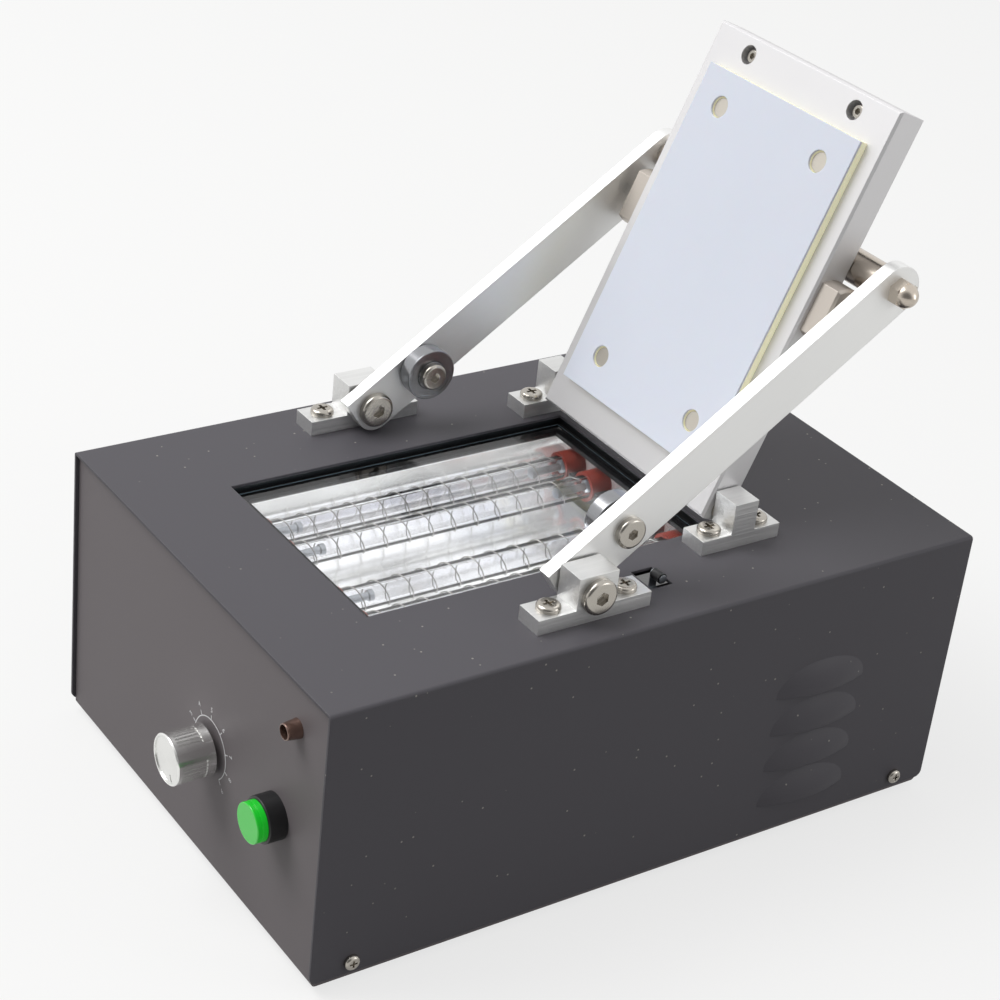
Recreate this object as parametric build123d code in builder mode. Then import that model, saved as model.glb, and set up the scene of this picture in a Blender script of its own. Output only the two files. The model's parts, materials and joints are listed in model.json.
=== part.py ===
from build123d import *
import math
import os

# Flash stamp machine: a sheet-metal case with a glass exposure window, a hinged press plate
# and a pair of lever arms with ball-bearing rollers. Millimetres, +Z up, the front at -Y.
# The origin is on the floor, under the middle of the whole machine's box.

os.makedirs("parts", exist_ok=True)

SIDES = ((-1, "left"), (1, "right"))

# Case sizes
cover_width = 205.0
cover_depth = 300.0
cover_height = 118.5
cover_sheet = 1.2
cover_fold = 1.4
cover_corner = 3.0
tray_sheet = 1.2
tray_drop = 2.5
tray_fit = 0.2
tray_fold = 2.0
panel_inset = 1.5
flange_height = 16.0
foot_height = 3.0
foot_diameter = 16.0
foot_inset = 20.0
foot_recess_diameter = 9.0
foot_recess_depth = 1.6
foot_bore = 3.2
foot_head_recess = 0.4
board_height = 9.0

# Fits between pieces
still_fit = 0.03
running_fit = 0.1
side_play = 0.1

# Louvres pressed out of both sides of the cover
louvre_count = 4
louvre_length = 45.0
louvre_height = 13.5
louvre_depth = 3.6
louvre_pitch = 17.5
louvre_first_lip = 13.0
louvre_middle = 229.5

# Window in the top of the cover
window_width = 105.2
window_length = 158.8
window_front = 43.8
glass_gap = 2.0
glass_thickness = 4.0
glass_recess = 3.0
frame_margin = 6.0
frame_ledge = 3.0
ledge_thickness = 2.0
seal_drop = 1.0

# Flash unit under the glass
reflector_sheet = 0.8
reflector_depth = 21.0
reflector_floor_inset = 7.0
reflector_lip = 4.0
tube_diameter = 10.0
tube_wall = 1.2
tube_length = 150.0
tube_spacing = 18.6
tube_rise = 12.0
tube_end_dome = 2.0
cap_diameter = 13.0
cap_length = 10.0
cap_cover = 5.0
cap_end_gap = 0.6
holder_thickness = 8.0
wire_diameter = 0.5
wire_loops = 12
wire_lead = 5.5
wire_clearance = 0.1
wire_bend = 2.0

# Lever arms
arm_pivot_depth = 119.5
arm_pivot_rise = 11.1
arm_angle = 34.2
arm_reach = 166.7
arm_width = 20.4
arm_thickness = 6.0
arm_heel = 9.0
arm_heel_round = 8.8
arm_inner = 70.25
rod_diameter = 14.0
stud_diameter = 6.0
stud_length = 7.0
rod_chamfer = 0.6
acorn_flats = 10.0
acorn_length = 9.5
acorn_hex_length = 4.5
acorn_crown = 1.0
roller_radius_on_arm = 26.3

# Ball bearing used as a roller
bearing_outer = 22.0
bearing_bore = 8.0
bearing_width = 7.0
bearing_inner_land = 12.1
bearing_outer_land = 18.6
bearing_pitch_diameter = 15.0
bearing_ball = 3.97
bearing_ball_count = 7
bearing_shield = 0.4
bearing_shield_inset = 0.3
bearing_spacer = 0.5
bearing_round = 0.4
ball_play = 0.12
shield_gap = 0.35

# Brackets screwed on the cover
bracket_width = 12.6
bracket_foot_height = 6.3
front_bracket_inner = 77.1
front_foot_length = 51.2
front_foot_middle = 119.6
front_upright_width = 17.7
front_upright_height = 19.8
front_screw_spacing = 34.7
rear_bracket_inner = 56.1
rear_foot_length = 38.5
rear_foot_middle = 205.1
rear_upright_width = 11.5
rear_upright_middle = 205.75
rear_upright_height = 19.5
rear_screw_spacing = 23.5

# Screws
foot_screw_diameter = 5.0
foot_screw_head = 9.7
foot_screw_head_height = 2.4
foot_screw_length = 12.0
pivot_diameter = 8.0
pivot_head = 14.6
pivot_head_height = 3.4
pivot_socket = 5.0
roller_head = 12.8
roller_head_height = 3.0
roller_socket = 4.0
end_screw_diameter = 4.0
end_screw_depth = 7.0
roller_inner_head = 11.4
head_dome = 0.45
cap_dome = 0.12
socket_depth_share = 0.6
pan_recess_share = 0.5
pan_slot_share = 0.13
pan_crown_share = 0.62
pan_depth_share = 0.55
pivot_washer_diameter = 15.0
hinge_washer_diameter = 9.0
cover_screw_diameter = 3.0
cover_screw_head = 6.4
cover_screw_head_height = 2.2
cover_screw_length = 6.0
cover_screw_rise = 5.3
cover_screw_inset = 17.0

# Press plate, hinged between the rear brackets and leaning back
plate_width = 110.8
plate_length = 174.6
plate_thickness = 12.8
plate_chamfer = 1.0
rod_gap = 0.36
hinge_depth = 204.0
hinge_rise = 10.1
hinge_from_edge = 5.24
hinge_from_face = 7.77
hinge_pin_diameter = 5.0
hinge_pin_in_plate = 15.0
hinge_pin_in_bracket = 10.0
pad_width = 93.2
pad_length = 143.0
pad_start = 14.8
foam_thickness = 3.0
pad_sheet_thickness = 1.1
disc_hole_diameter = 9.0
disc_diameter = 8.0
disc_thickness = 2.8
disc_offset = 30.8
disc_low = 30.5
disc_high = 143.4
block_radius = 12.5
block_rod_gap = 2.6
block_back = 10.0
block_flat = 2.5
block_width = 10.0
block_chamfer = 1.0
block_screw_diameter = 5.0
block_screw_head = 8.5
block_screw_head_height = 5.0
block_screw_depth = 14.0
block_socket = 4.0
grip_screw_offset = 32.6
grip_screw_along = 166.8
grip_bore_diameter = 8.0
grip_bore_depth = 5.0
grip_screw_head = 5.5
grip_screw_diameter = 3.0
grip_socket = 2.5
grip_length = 86.0
grip_depth = 15.0
grip_height = 13.0
grip_round = 3.0
grip_top = 170.0
grip_screw_depth = 9.0

# Controls on the front
knob_diameter = 20.8
knob_length = 16.0
knob_gap = 2.5
knob_across = 17.0
knob_up = 50.5
knob_skirt = 3.6
knob_groove = 0.5
knob_groove_pitch = 9.0
knob_group_grooves = 6
knob_land_count = 4
knob_land_angle = 35.0
knob_face_recess = 0.4
knob_rim = 0.6
knob_collar = 2.2
knob_face_wall = 3.0
knob_hollow_diameter = 15.5
knob_hollow_depth = 6.5
pointer_angle = -60.0
pointer_length = 3.0
pointer_width = 0.8
pointer_depth = 0.5
pointer_middle = 7.4
shaft_diameter = 6.0
bushing_diameter = 7.0
bushing_length = 6.0
pot_diameter = 17.0
pot_depth = 10.0
pot_shaft_depth = 6.0
nut_flats = 10.0
nut_thickness = 2.0
button_across = 68.5
button_up = 53.8
button_barrel = 16.0
button_bezel_diameter = 18.4
button_bezel_height = 7.5
button_wall = 1.1
button_barrel_length = 24.0
button_cap_stand = 4.3
button_cap_groove = 0.35
button_groove_back = 2.2
button_cap_round = 0.4
button_rim_round = 0.5
button_travel = 3.0
button_floor = 1.0
button_stem_diameter = 6.0
button_stem_length = 16.0
button_nut_diameter = 20.0
button_nut_thickness = 3.0
lamp_across = 79.5
lamp_up = 99.0
lamp_diameter = 7.9
lamp_stand = 5.8
lamp_taper = 7.0
lamp_bore = 5.6
lamp_bore_depth = 5.0
lamp_neck = 6.0
lamp_barrel_length = 12.0
led_diameter = 5.0
led_dome_round = 2.25
led_height = 3.2
lamp_round = 0.4

# Rear panel
inlet_across = -62.0
inlet_up = 36.0
inlet_width = 31.0
inlet_height = 24.5
inlet_flange = 2.5
inlet_body_width = 27.0
inlet_body_height = 19.8
inlet_body_depth = 22.0
inlet_cavity_width = 24.4
inlet_cavity_height = 16.6
inlet_cavity_depth = 17.5
inlet_pin_length = 11.0
inlet_pin_width = 4.0
inlet_pin_thickness = 2.0
inlet_pin_spacing = 14.0
inlet_pin_offset = 2.0
inlet_corner = 2.0
rocker_across = -15.0
rocker_up = 36.0
rocker_width = 21.0
rocker_height = 15.0
rocker_body_width = 19.0
rocker_body_height = 12.8
rocker_body_depth = 16.0
rocker_frame_flange = 1.8
rocker_wall = 1.4
rocker_tilt = 10.0
rocker_pivot_depth = 3.0
rocker_gap = 0.9
rocker_cheek = 1.2
rocker_corner = 1.5
rocker_cavity_depth = 8.0
rocker_pin_diameter = 2.4
rocker_pin_length = 0.9
rocker_root = 2.5
rocker_root_half = 5.7
fuse_across = 20.0
fuse_up = 36.0
fuse_diameter = 12.0
fuse_flange_diameter = 16.0
fuse_flange = 2.5
fuse_cap_diameter = 12.5
fuse_cap_stand = 8.0
fuse_body_length = 30.0
fuse_cap_round = 1.0
fuse_slot_width = 1.5
fuse_slot_length = 8.75

# Safety switch under the slot in the cover
slot_inner = 67.0
slot_outer = 80.5
slot_front = 152.95
slot_rear = 163.0
switch_body_width = 10.0
switch_body_length = 28.0
switch_body_height = 15.0
switch_body_drop = 7.5
switch_bracket_sheet = 1.2
switch_bracket_length = 16.0
switch_bracket_flange = 9.0
ear_thickness = 1.2
switch_across = 74.8
switch_body_rear = 161.0
switch_roller_diameter = 4.4
switch_roller_length = 5.0
switch_roller_inner = 73.0
switch_roller_depth = 159.7
switch_roller_rise = 1.5
switch_pin_diameter = 1.6
switch_pin_head = 3.4
switch_pin_head_thickness = 0.5
lever_strip_thickness = 0.6
lever_strip_width = 4.4
lever_cheek_thickness = 0.5
lever_pivot_depth = 138.0
lever_pivot_drop = 4.0
lever_hinge_diameter = 2.0

# Electronics on the tray
board_width = 150.0
board_length = 190.0
board_thickness = 1.6
board_middle = 150.0
standoff_flats = 6.0
standoff_bore = 3.2
standoff_inset = 8.0
capacitor_diameter = 30.0
capacitor_height = 46.0
capacitor_pitch = 36.0
capacitor_row = 110.0
capacitor_count = 4
capacitor_rim = 1.5
transformer_width = 42.0
transformer_length = 36.0
transformer_core_length = 16.0
transformer_winding_inset = 5.0
transformer_height = 34.0
transformer_across = 40.0
transformer_depth = 205.0

# Places worked out from the sizes
front_reach = knob_gap + knob_length - panel_inset
rear_reach = fuse_cap_stand - panel_inset
cover_front = (front_reach - cover_depth - rear_reach) / 2
cover_bottom = foot_height + tray_drop
cover_top = cover_bottom + cover_height
cover_under = cover_top - cover_sheet
cover_rear = cover_front + cover_depth
inner_half = cover_width / 2 - cover_sheet
tray_half = inner_half - tray_fit
tray_floor = foot_height + tray_sheet
tray_top = cover_under - tray_fit
panel_front = cover_front + panel_inset
panel_back = panel_front + tray_sheet
rear_face = cover_rear - panel_inset
rear_inside = rear_face - tray_sheet
glass_top = cover_top - glass_recess
glass_bottom = glass_top - glass_thickness
frame_bottom = glass_bottom - ledge_thickness
window_middle = cover_front + window_front + window_length / 2
pivot_y = cover_front + arm_pivot_depth
pivot_z = cover_top + arm_pivot_rise
hinge_y = cover_front + hinge_depth
hinge_z = cover_top + hinge_rise
half_plate = plate_width / 2


def front_plane(y):
    """An upright plane at y that faces the front, its own x along X and its own y up."""
    return Plane.XZ.offset(-y)


def side_plane(x):
    """An upright plane at x, its own x along Y and its own y up."""
    return Plane.YZ.offset(x)


def arm_plane(x):
    """The plane of a lever arm at x, its own x along the arm from the pivot."""
    along = (0, math.cos(math.radians(arm_angle)), math.sin(math.radians(arm_angle)))
    return Plane(origin=(x, pivot_y, pivot_z), x_dir=along, z_dir=(1, 0, 0))


# The press plate leans back on the cross rod, which the lever arms carry
rod_y = pivot_y + arm_reach * math.cos(math.radians(arm_angle))
rod_z = pivot_z + arm_reach * math.sin(math.radians(arm_angle))
hinge_to_rod = math.hypot(rod_y - hinge_y, rod_z - hinge_z)
rod_behind = plate_thickness + rod_gap + rod_diameter / 2
rod_slope = math.atan2(rod_z - hinge_z, rod_y - hinge_y)
plate_lean = math.degrees(rod_slope + math.asin((rod_behind - hinge_from_face) / hinge_to_rod))

# Directions of the press plate: up along its face, and out of its face
plate_up = Vector(0, math.cos(math.radians(plate_lean)), math.sin(math.radians(plate_lean)))
plate_out = Vector(0, -math.sin(math.radians(plate_lean)), math.cos(math.radians(plate_lean)))
plate_origin = Vector(0, hinge_y, hinge_z) - plate_up * hinge_from_edge + plate_out * hinge_from_face
plate_face = Plane(origin=plate_origin, x_dir=(1, 0, 0), z_dir=plate_out)

# Place of the press blocks along the plate, just below the cross rod
rod_along = (Vector(0, rod_y, rod_z) - plate_origin).dot(plate_up)
block_to_rod = rod_diameter / 2 + block_radius + block_rod_gap
block_along = rod_along - math.sqrt(block_to_rod**2 - (rod_behind - block_back) ** 2)


def plate_side(x):
    """A plane across the press plate at x, its own x up the plate and its own y out of its face."""
    return Plane(origin=plate_origin + Vector(x, 0, 0), x_dir=plate_up, z_dir=(1, 0, 0))


# Standard fasteners, made head up on the origin and placed where they are used


def pan_screw(shank, head, head_height, length):
    """A cross-recessed pan head screw, its seat at z 0 and its shank below."""
    recess = head * pan_recess_share
    slot = head * pan_slot_share
    with BuildPart() as screw:
        Cylinder(head / 2, head_height, align=(Align.CENTER, Align.CENTER, Align.MIN))
        crown = head_height * pan_crown_share
        fillet(screw.edges().filter_by(GeomType.CIRCLE).sort_by(Axis.Z)[-1], radius=crown)
        with Locations((0, 0, -length)):
            Cylinder(shank / 2, length, align=(Align.CENTER, Align.CENTER, Align.MIN))
        with BuildSketch(Plane.XY.offset(head_height)):
            Rectangle(recess, slot)
            Rectangle(slot, recess)
        extrude(amount=-head_height * pan_depth_share, mode=Mode.SUBTRACT)
    return screw.part


def socket_screw(shank, head, head_height, length, socket, dome):
    """A hexagon socket screw, its seat at z 0 and its shank below, with a domed or a plain head."""
    with BuildPart() as screw:
        Cylinder(head / 2, head_height, align=(Align.CENTER, Align.CENTER, Align.MIN))
        fillet(screw.edges().filter_by(GeomType.CIRCLE).sort_by(Axis.Z)[-1], radius=head_height * dome)
        with Locations((0, 0, -length)):
            Cylinder(shank / 2, length, align=(Align.CENTER, Align.CENTER, Align.MIN))
        with BuildSketch(Plane.XY.offset(head_height)):
            RegularPolygon(socket / 2, 6, major_radius=False)
        extrude(amount=-head_height * socket_depth_share, mode=Mode.SUBTRACT)
    return screw.part


foot_screw = pan_screw(foot_screw_diameter, foot_screw_head, foot_screw_head_height, foot_screw_length)
cover_screw = pan_screw(cover_screw_diameter, cover_screw_head, cover_screw_head_height, cover_screw_length)

# Places of the eight bracket screws on the bracket feet
bracket_screw_spots = []
for side, hand in SIDES:
    for half in (-0.5, 0.5):
        bracket_screw_spots.append((
            side * (front_bracket_inner + bracket_width / 2),
            cover_front + front_foot_middle + half * front_screw_spacing,
        ))
        bracket_screw_spots.append((
            side * (rear_bracket_inner + bracket_width / 2),
            cover_front + rear_foot_middle + half * rear_screw_spacing,
        ))

# Places of the four cover screws, front and rear on each side
cover_screw_z = cover_bottom + cover_screw_rise
cover_screw_depths = (cover_front + cover_screw_inset, cover_rear - cover_screw_inset)

# Places of the four feet
foot_spots = []
for side, hand in SIDES:
    for y in (cover_front + foot_inset, cover_rear - foot_inset):
        foot_spots.append((side * (cover_width / 2 - foot_inset), y))

# Places of the four board standoffs
standoff_spots = []
for side, hand in SIDES:
    for half in (-1, 1):
        standoff_spots.append((
            side * (board_width / 2 - standoff_inset),
            cover_front + board_middle + half * (board_length / 2 - standoff_inset),
        ))

# Chassis tray: floor, front panel and rear panel bent from one sheet, with side flanges
with BuildPart() as chassis_tray:
    with BuildSketch(side_plane(-tray_half)):
        with BuildLine():
            Polyline(
                (panel_front, tray_top),
                (panel_front, foot_height),
                (rear_face, foot_height),
                (rear_face, tray_top),
                (rear_inside, tray_top),
                (rear_inside, tray_floor),
                (panel_back, tray_floor),
                (panel_back, tray_top),
                close=True,
            )
        make_face()
    extrude(amount=2 * tray_half)
    bends = chassis_tray.edges().filter_by(Axis.X).group_by(Axis.Z)[0]
    fillet(bends, radius=tray_fold)
    for side, hand in SIDES:
        with BuildSketch(side_plane(side * tray_half)):
            with Locations(((panel_back + rear_inside) / 2, tray_floor)):
                Rectangle(
                    rear_inside - panel_back - 2 * tray_fold,
                    flange_height,
                    align=(Align.CENTER, Align.MIN),
                )
        extrude(amount=-side * tray_sheet)
    with BuildSketch(front_plane(panel_back)):
        with Locations((knob_across, cover_bottom + knob_up)):
            Circle(bushing_diameter / 2 + still_fit)
        with Locations((button_across, cover_bottom + button_up)):
            Circle(button_barrel / 2 + still_fit)
        with Locations((lamp_across, cover_bottom + lamp_up)):
            Circle(lamp_neck / 2 + still_fit)
    extrude(amount=2 * tray_sheet, both=True, mode=Mode.SUBTRACT)
    with BuildSketch(front_plane(rear_face)):
        with Locations((inlet_across, cover_bottom + inlet_up)):
            Rectangle(inlet_body_width + 2 * still_fit, inlet_body_height + 2 * still_fit)
        with Locations((rocker_across, cover_bottom + rocker_up)):
            Rectangle(rocker_body_width + 2 * still_fit, rocker_body_height + 2 * still_fit)
        with Locations((fuse_across, cover_bottom + fuse_up)):
            Circle(fuse_diameter / 2 + still_fit)
    extrude(amount=2 * tray_sheet, both=True, mode=Mode.SUBTRACT)
    with BuildSketch(side_plane(0)):
        for y in cover_screw_depths:
            with Locations((y, cover_screw_z)):
                Circle(cover_screw_diameter / 2 + still_fit)
    extrude(amount=cover_width, both=True, mode=Mode.SUBTRACT)
    with Locations(*[(x, y, tray_floor) for x, y in foot_spots]):
        Hole(foot_bore / 2 + still_fit, depth=3 * tray_sheet)

chassis_tray.part.label = "chassis_tray"
export_step(chassis_tray.part, "parts/chassis_tray.step")

# One louvre hood on the right side, its lip on z 0 and its middle on y 0. The hood follows a
# circle seen from above, so that it sinks into the side at both ends.
hood_swing = ((louvre_length / 2) ** 2 + louvre_depth**2) / (2 * louvre_depth)
hood_axis_x = cover_width / 2 + louvre_depth - hood_swing


def hood_body(thickness):
    """The pressed-out volume of a louvre, drawn in by a thickness."""
    swing = hood_swing - thickness
    rise = louvre_height - thickness
    inside = hood_swing - louvre_depth - 3 * cover_sheet
    shoulder = hood_swing - louvre_depth - thickness
    axis = Axis((hood_axis_x, 0, 0), (0, 0, 1))
    with BuildPart() as body:
        with BuildSketch(Plane.XZ):
            with BuildLine():
                Polyline(
                    (hood_axis_x + shoulder, rise),
                    (hood_axis_x + inside, rise),
                    (hood_axis_x + inside, 0),
                    (hood_axis_x + swing, 0),
                )
                ThreePointArc(
                    (hood_axis_x + swing, 0),
                    (hood_axis_x + swing - 0.28 * (swing - shoulder), rise * 0.6),
                    (hood_axis_x + shoulder, rise),
                )
            make_face()
        revolve(axis=axis, revolution_arc=40)
        mirror(about=Plane.XZ)
        with BuildSketch(Plane.XY):
            with Locations((cover_width / 2 - cover_sheet, 0)):
                Rectangle(4 * louvre_depth, louvre_length, align=(Align.MIN, Align.CENTER))
        extrude(amount=louvre_height, mode=Mode.INTERSECT)
    return body.part


with BuildPart() as louvre_hood:
    add(hood_body(0))
    add(hood_body(cover_sheet), mode=Mode.SUBTRACT)

with BuildPart() as louvre_mouth:
    add(hood_body(cover_sheet))

# Top cover: top and sides folded from one sheet, open at the front, the rear and below
with BuildPart() as top_cover:
    with BuildSketch(front_plane(cover_front)):
        with Locations((0, cover_bottom)):
            Rectangle(cover_width, cover_height, align=(Align.CENTER, Align.MIN))
        with Locations((0, cover_bottom)):
            Rectangle(
                2 * inner_half,
                cover_height - cover_sheet,
                align=(Align.CENTER, Align.MIN),
                mode=Mode.SUBTRACT,
            )
    extrude(amount=-cover_depth)
    folds = top_cover.edges().filter_by(Axis.Y).group_by(Axis.Z)[-1]
    fillet(folds, radius=cover_fold)
    skirt_ends = top_cover.edges().filter_by(Axis.X).group_by(Axis.Z)[0]
    fillet(skirt_ends, radius=cover_corner)
    louvre_spots = []
    for step in range(louvre_count):
        louvre_spots.append(
            (0, cover_front + louvre_middle, cover_bottom + louvre_first_lip + step * louvre_pitch)
        )
    with Locations(*louvre_spots):
        add(louvre_mouth.part, mode=Mode.SUBTRACT)
        add(louvre_mouth.part.mirror(Plane.YZ), mode=Mode.SUBTRACT)
        add(louvre_hood.part)
        add(louvre_hood.part.mirror(Plane.YZ))
    with BuildSketch(Plane.XY.offset(cover_top)):
        with Locations((0, window_middle)):
            Rectangle(window_width, window_length)
        with Locations(((slot_inner + slot_outer) / 2, cover_front + (slot_front + slot_rear) / 2)):
            Rectangle(slot_outer - slot_inner, slot_rear - slot_front)
        with Locations(*bracket_screw_spots):
            Circle(foot_screw_diameter / 2 + still_fit)
    extrude(amount=-2 * cover_sheet, mode=Mode.SUBTRACT)
    with BuildSketch(side_plane(0)):
        for y in cover_screw_depths:
            with Locations((y, cover_screw_z)):
                Circle(cover_screw_diameter / 2 + still_fit)
    extrude(amount=cover_width, both=True, mode=Mode.SUBTRACT)

top_cover.part.label = "top_cover"
export_step(top_cover.part, "parts/top_cover.step")

with BuildPart() as cover_screws:
    for side, hand in SIDES:
        for y in cover_screw_depths:
            with Locations(Location((side * cover_width / 2, y, cover_screw_z), (0, side * 90, 0))):
                add(cover_screw)

cover_screws.part.label = "cover_screws"
export_step(cover_screws.part, "parts/cover_screws.step")

with BuildPart() as rubber_feet:
    with Locations(*[(x, y, 0) for x, y in foot_spots]):
        Cylinder(foot_diameter / 2, foot_height, align=(Align.CENTER, Align.CENTER, Align.MIN))
    rims = rubber_feet.edges().filter_by(GeomType.CIRCLE).group_by(Axis.Z)[0]
    fillet(rims, radius=foot_height / 4)
    with BuildSketch():
        with Locations(*foot_spots):
            Circle(foot_recess_diameter / 2)
    extrude(amount=foot_recess_depth, mode=Mode.SUBTRACT)
    with BuildSketch():
        with Locations(*foot_spots):
            Circle(foot_bore / 2 + still_fit)
    extrude(amount=foot_height, mode=Mode.SUBTRACT)

rubber_feet.part.label = "rubber_feet"
export_step(rubber_feet.part, "parts/rubber_feet.step")

# Rivet-like pan screws that hold the feet, heads up in the recess below each foot
foot_rivet = pan_screw(
    foot_bore - 2 * still_fit,
    foot_recess_diameter - 1,
    foot_recess_depth - foot_head_recess,
    foot_height - foot_recess_depth + 2 * tray_sheet,
)

with BuildPart() as foot_screws:
    with Locations(*[Location((x, y, foot_recess_depth), (180, 0, 0)) for x, y in foot_spots]):
        add(foot_rivet)

foot_screws.part.label = "foot_screws"
export_step(foot_screws.part, "parts/foot_screws.step")

# Window frame: a black ring bonded under the cover, with the ledge that carries the glass
glass_width = window_width - 2 * glass_gap
glass_length = window_length - 2 * glass_gap

with BuildPart() as window_frame:
    with BuildSketch(Plane.XY.offset(frame_bottom)):
        with Locations((0, window_middle)):
            Rectangle(window_width + 2 * frame_margin, window_length + 2 * frame_margin)
            Rectangle(
                glass_width - 2 * frame_ledge, glass_length - 2 * frame_ledge, mode=Mode.SUBTRACT
            )
    extrude(amount=cover_under - frame_bottom)
    with BuildSketch(Plane.XY.offset(glass_bottom)):
        with Locations((0, window_middle)):
            Rectangle(window_width, window_length)
    extrude(amount=cover_under - glass_bottom, mode=Mode.SUBTRACT)

window_frame.part.label = "window_frame"
export_step(window_frame.part, "parts/window_frame.step")

with BuildPart() as window_seal:
    with BuildSketch(Plane.XY.offset(glass_bottom)):
        with Locations((0, window_middle)):
            Rectangle(window_width, window_length)
            Rectangle(glass_width, glass_length, mode=Mode.SUBTRACT)
    extrude(amount=glass_thickness - seal_drop)

window_seal.part.label = "window_seal"
export_step(window_seal.part, "parts/window_seal.step")

with BuildPart() as window_glass:
    with BuildSketch(Plane.XY.offset(glass_bottom)):
        with Locations((0, window_middle)):
            Rectangle(glass_width, glass_length)
    extrude(amount=glass_thickness)
    chamfer(window_glass.edges().group_by(Axis.Z)[-1], length=0.4)

window_glass.part.label = "window_glass"
export_step(window_glass.part, "parts/window_glass.step")

# Reflector: a bright folded tray hung under the window frame
reflector_top_width = glass_width - 2 * frame_ledge + reflector_sheet
reflector_end_wall = reflector_sheet + cap_end_gap
reflector_top_length = tube_length + 2 * (cap_length - cap_cover + reflector_end_wall)
reflector_floor_width = reflector_top_width - 2 * reflector_floor_inset
reflector_bottom = frame_bottom - reflector_depth

with BuildPart() as reflector_tray:
    for inset, mode in ((0, Mode.ADD), (reflector_sheet, Mode.SUBTRACT)):
        with BuildSketch(Plane.XY.offset(frame_bottom)):
            with Locations((0, window_middle)):
                Rectangle(reflector_top_width - 2 * inset, reflector_top_length - 2 * inset)
        with BuildSketch(Plane.XY.offset(reflector_bottom + inset)):
            with Locations((0, window_middle)):
                Rectangle(reflector_floor_width - 2 * inset, reflector_top_length - 2 * inset)
        loft(mode=mode)
    with BuildSketch(Plane.XY.offset(frame_bottom)):
        with Locations((0, window_middle)):
            Rectangle(
                reflector_top_width + 2 * reflector_lip, reflector_top_length + 2 * reflector_lip
            )
            Rectangle(
                reflector_top_width - 2 * reflector_sheet,
                reflector_top_length - 2 * reflector_sheet,
                mode=Mode.SUBTRACT,
            )
    extrude(amount=-reflector_sheet)

reflector_tray.part.label = "reflector_tray"
export_step(reflector_tray.part, "parts/reflector_tray.step")

# Flash tubes: closed glass tubes along the machine, in two pairs
tube_z = reflector_bottom + tube_rise
tube_spots = (-2 * tube_spacing, -tube_spacing, tube_spacing, 2 * tube_spacing)
tube_front = window_middle - tube_length / 2
tube_rear = window_middle + tube_length / 2
tube_radius = tube_diameter / 2

with BuildPart() as flash_tubes:
    with BuildSketch(front_plane(tube_front)):
        with Locations(*[(x, tube_z) for x in tube_spots]):
            Circle(tube_radius)
            Circle(tube_radius - tube_wall, mode=Mode.SUBTRACT)
    extrude(amount=-tube_length)
    for y, reach in ((tube_front, -tube_end_dome), (tube_rear, tube_end_dome)):
        with BuildSketch(front_plane(y)):
            with Locations(*[(x, tube_z) for x in tube_spots]):
                Circle(tube_radius)
        extrude(amount=-reach)

flash_tubes.part.label = "flash_tubes"
export_step(flash_tubes.part, "parts/flash_tubes.step")

# Silicone caps over both ends of every tube
with BuildPart() as tube_caps:
    for end, way in ((tube_front, 1), (tube_rear, -1)):
        mouth = end + way * cap_cover
        with BuildSketch(front_plane(mouth)):
            with Locations(*[(x, tube_z) for x in tube_spots]):
                Circle(cap_diameter / 2)
        extrude(amount=way * cap_length)
        with BuildSketch(front_plane(mouth)):
            with Locations(*[(x, tube_z) for x in tube_spots]):
                Circle(tube_radius + still_fit)
        extrude(amount=way * (cap_cover + tube_end_dome + still_fit), mode=Mode.SUBTRACT)

tube_caps.part.label = "tube_caps"
export_step(tube_caps.part, "parts/tube_caps.step")

# Saddle blocks that carry the caps, standing on the reflector's floor
saddle_half = reflector_floor_width / 2 - reflector_sheet - side_play

with BuildPart() as tube_holders:
    for end, way in ((tube_front, 1), (tube_rear, -1)):
        face = end + way * (cap_cover - cap_length / 2 + holder_thickness / 2)
        with BuildSketch(front_plane(face)):
            with Locations((0, reflector_bottom + reflector_sheet)):
                Rectangle(
                    2 * saddle_half, tube_rise - reflector_sheet, align=(Align.CENTER, Align.MIN)
                )
            with Locations(*[(x, tube_z) for x in tube_spots]):
                Circle(cap_diameter / 2 + still_fit, mode=Mode.SUBTRACT)
        extrude(amount=way * holder_thickness)

tube_holders.part.label = "tube_holders"
export_step(tube_holders.part, "parts/tube_holders.step")

# Trigger wires: one unbroken helix on each tube, on pairs of arcs for every quarter turn
helix_radius = tube_radius + wire_diameter / 2 + wire_clearance
wire_pitch = (tube_length - 2 * (cap_cover + wire_lead)) / wire_loops
helix_front = window_middle - wire_loops * wire_pitch / 2
quarter_turns = 4 * wire_loops


def helix_point(turn):
    """The place on the helix after a number of turns, on a tube along Y at the origin."""
    angle = 2 * math.pi * turn
    return Vector(helix_radius * math.sin(angle), wire_pitch * turn, helix_radius * math.cos(angle))


def helix_heading(turn):
    """The unit direction of the helix after a number of turns."""
    angle = 2 * math.pi * turn
    rate = 2 * math.pi * helix_radius
    return Vector(rate * math.cos(angle), wire_pitch, -rate * math.sin(angle)).normalized()


def biarc(start, start_heading, end, end_heading):
    """Two arcs that leave start and reach end in the given headings."""
    across = end - start
    total = start_heading + end_heading
    lean = across.dot(total)
    spread = 2 * (1 - start_heading.dot(end_heading))
    reach = (math.sqrt(lean**2 + spread * across.dot(across)) - lean) / spread
    first = start + start_heading * reach
    second = end - end_heading * reach
    middle = (first + second) * 0.5
    TangentArc(start, middle, tangent=start_heading)
    TangentArc(middle, end, tangent=(second - first).normalized())


# Both ends bend once in the plane that touches the tube there, and run straight into the caps
cap_face_front = tube_front + cap_cover - helix_front
cap_face_rear = tube_rear - cap_cover - helix_front
lead = math.atan2(2 * math.pi * helix_radius, wire_pitch)
bend_step = Vector(wire_bend * (1 - math.cos(lead)), wire_bend * math.sin(lead), 0)
helix_start = helix_point(0)
helix_end = helix_point(wire_loops)
run_in = helix_start - bend_step
run_out = helix_end + bend_step

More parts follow.
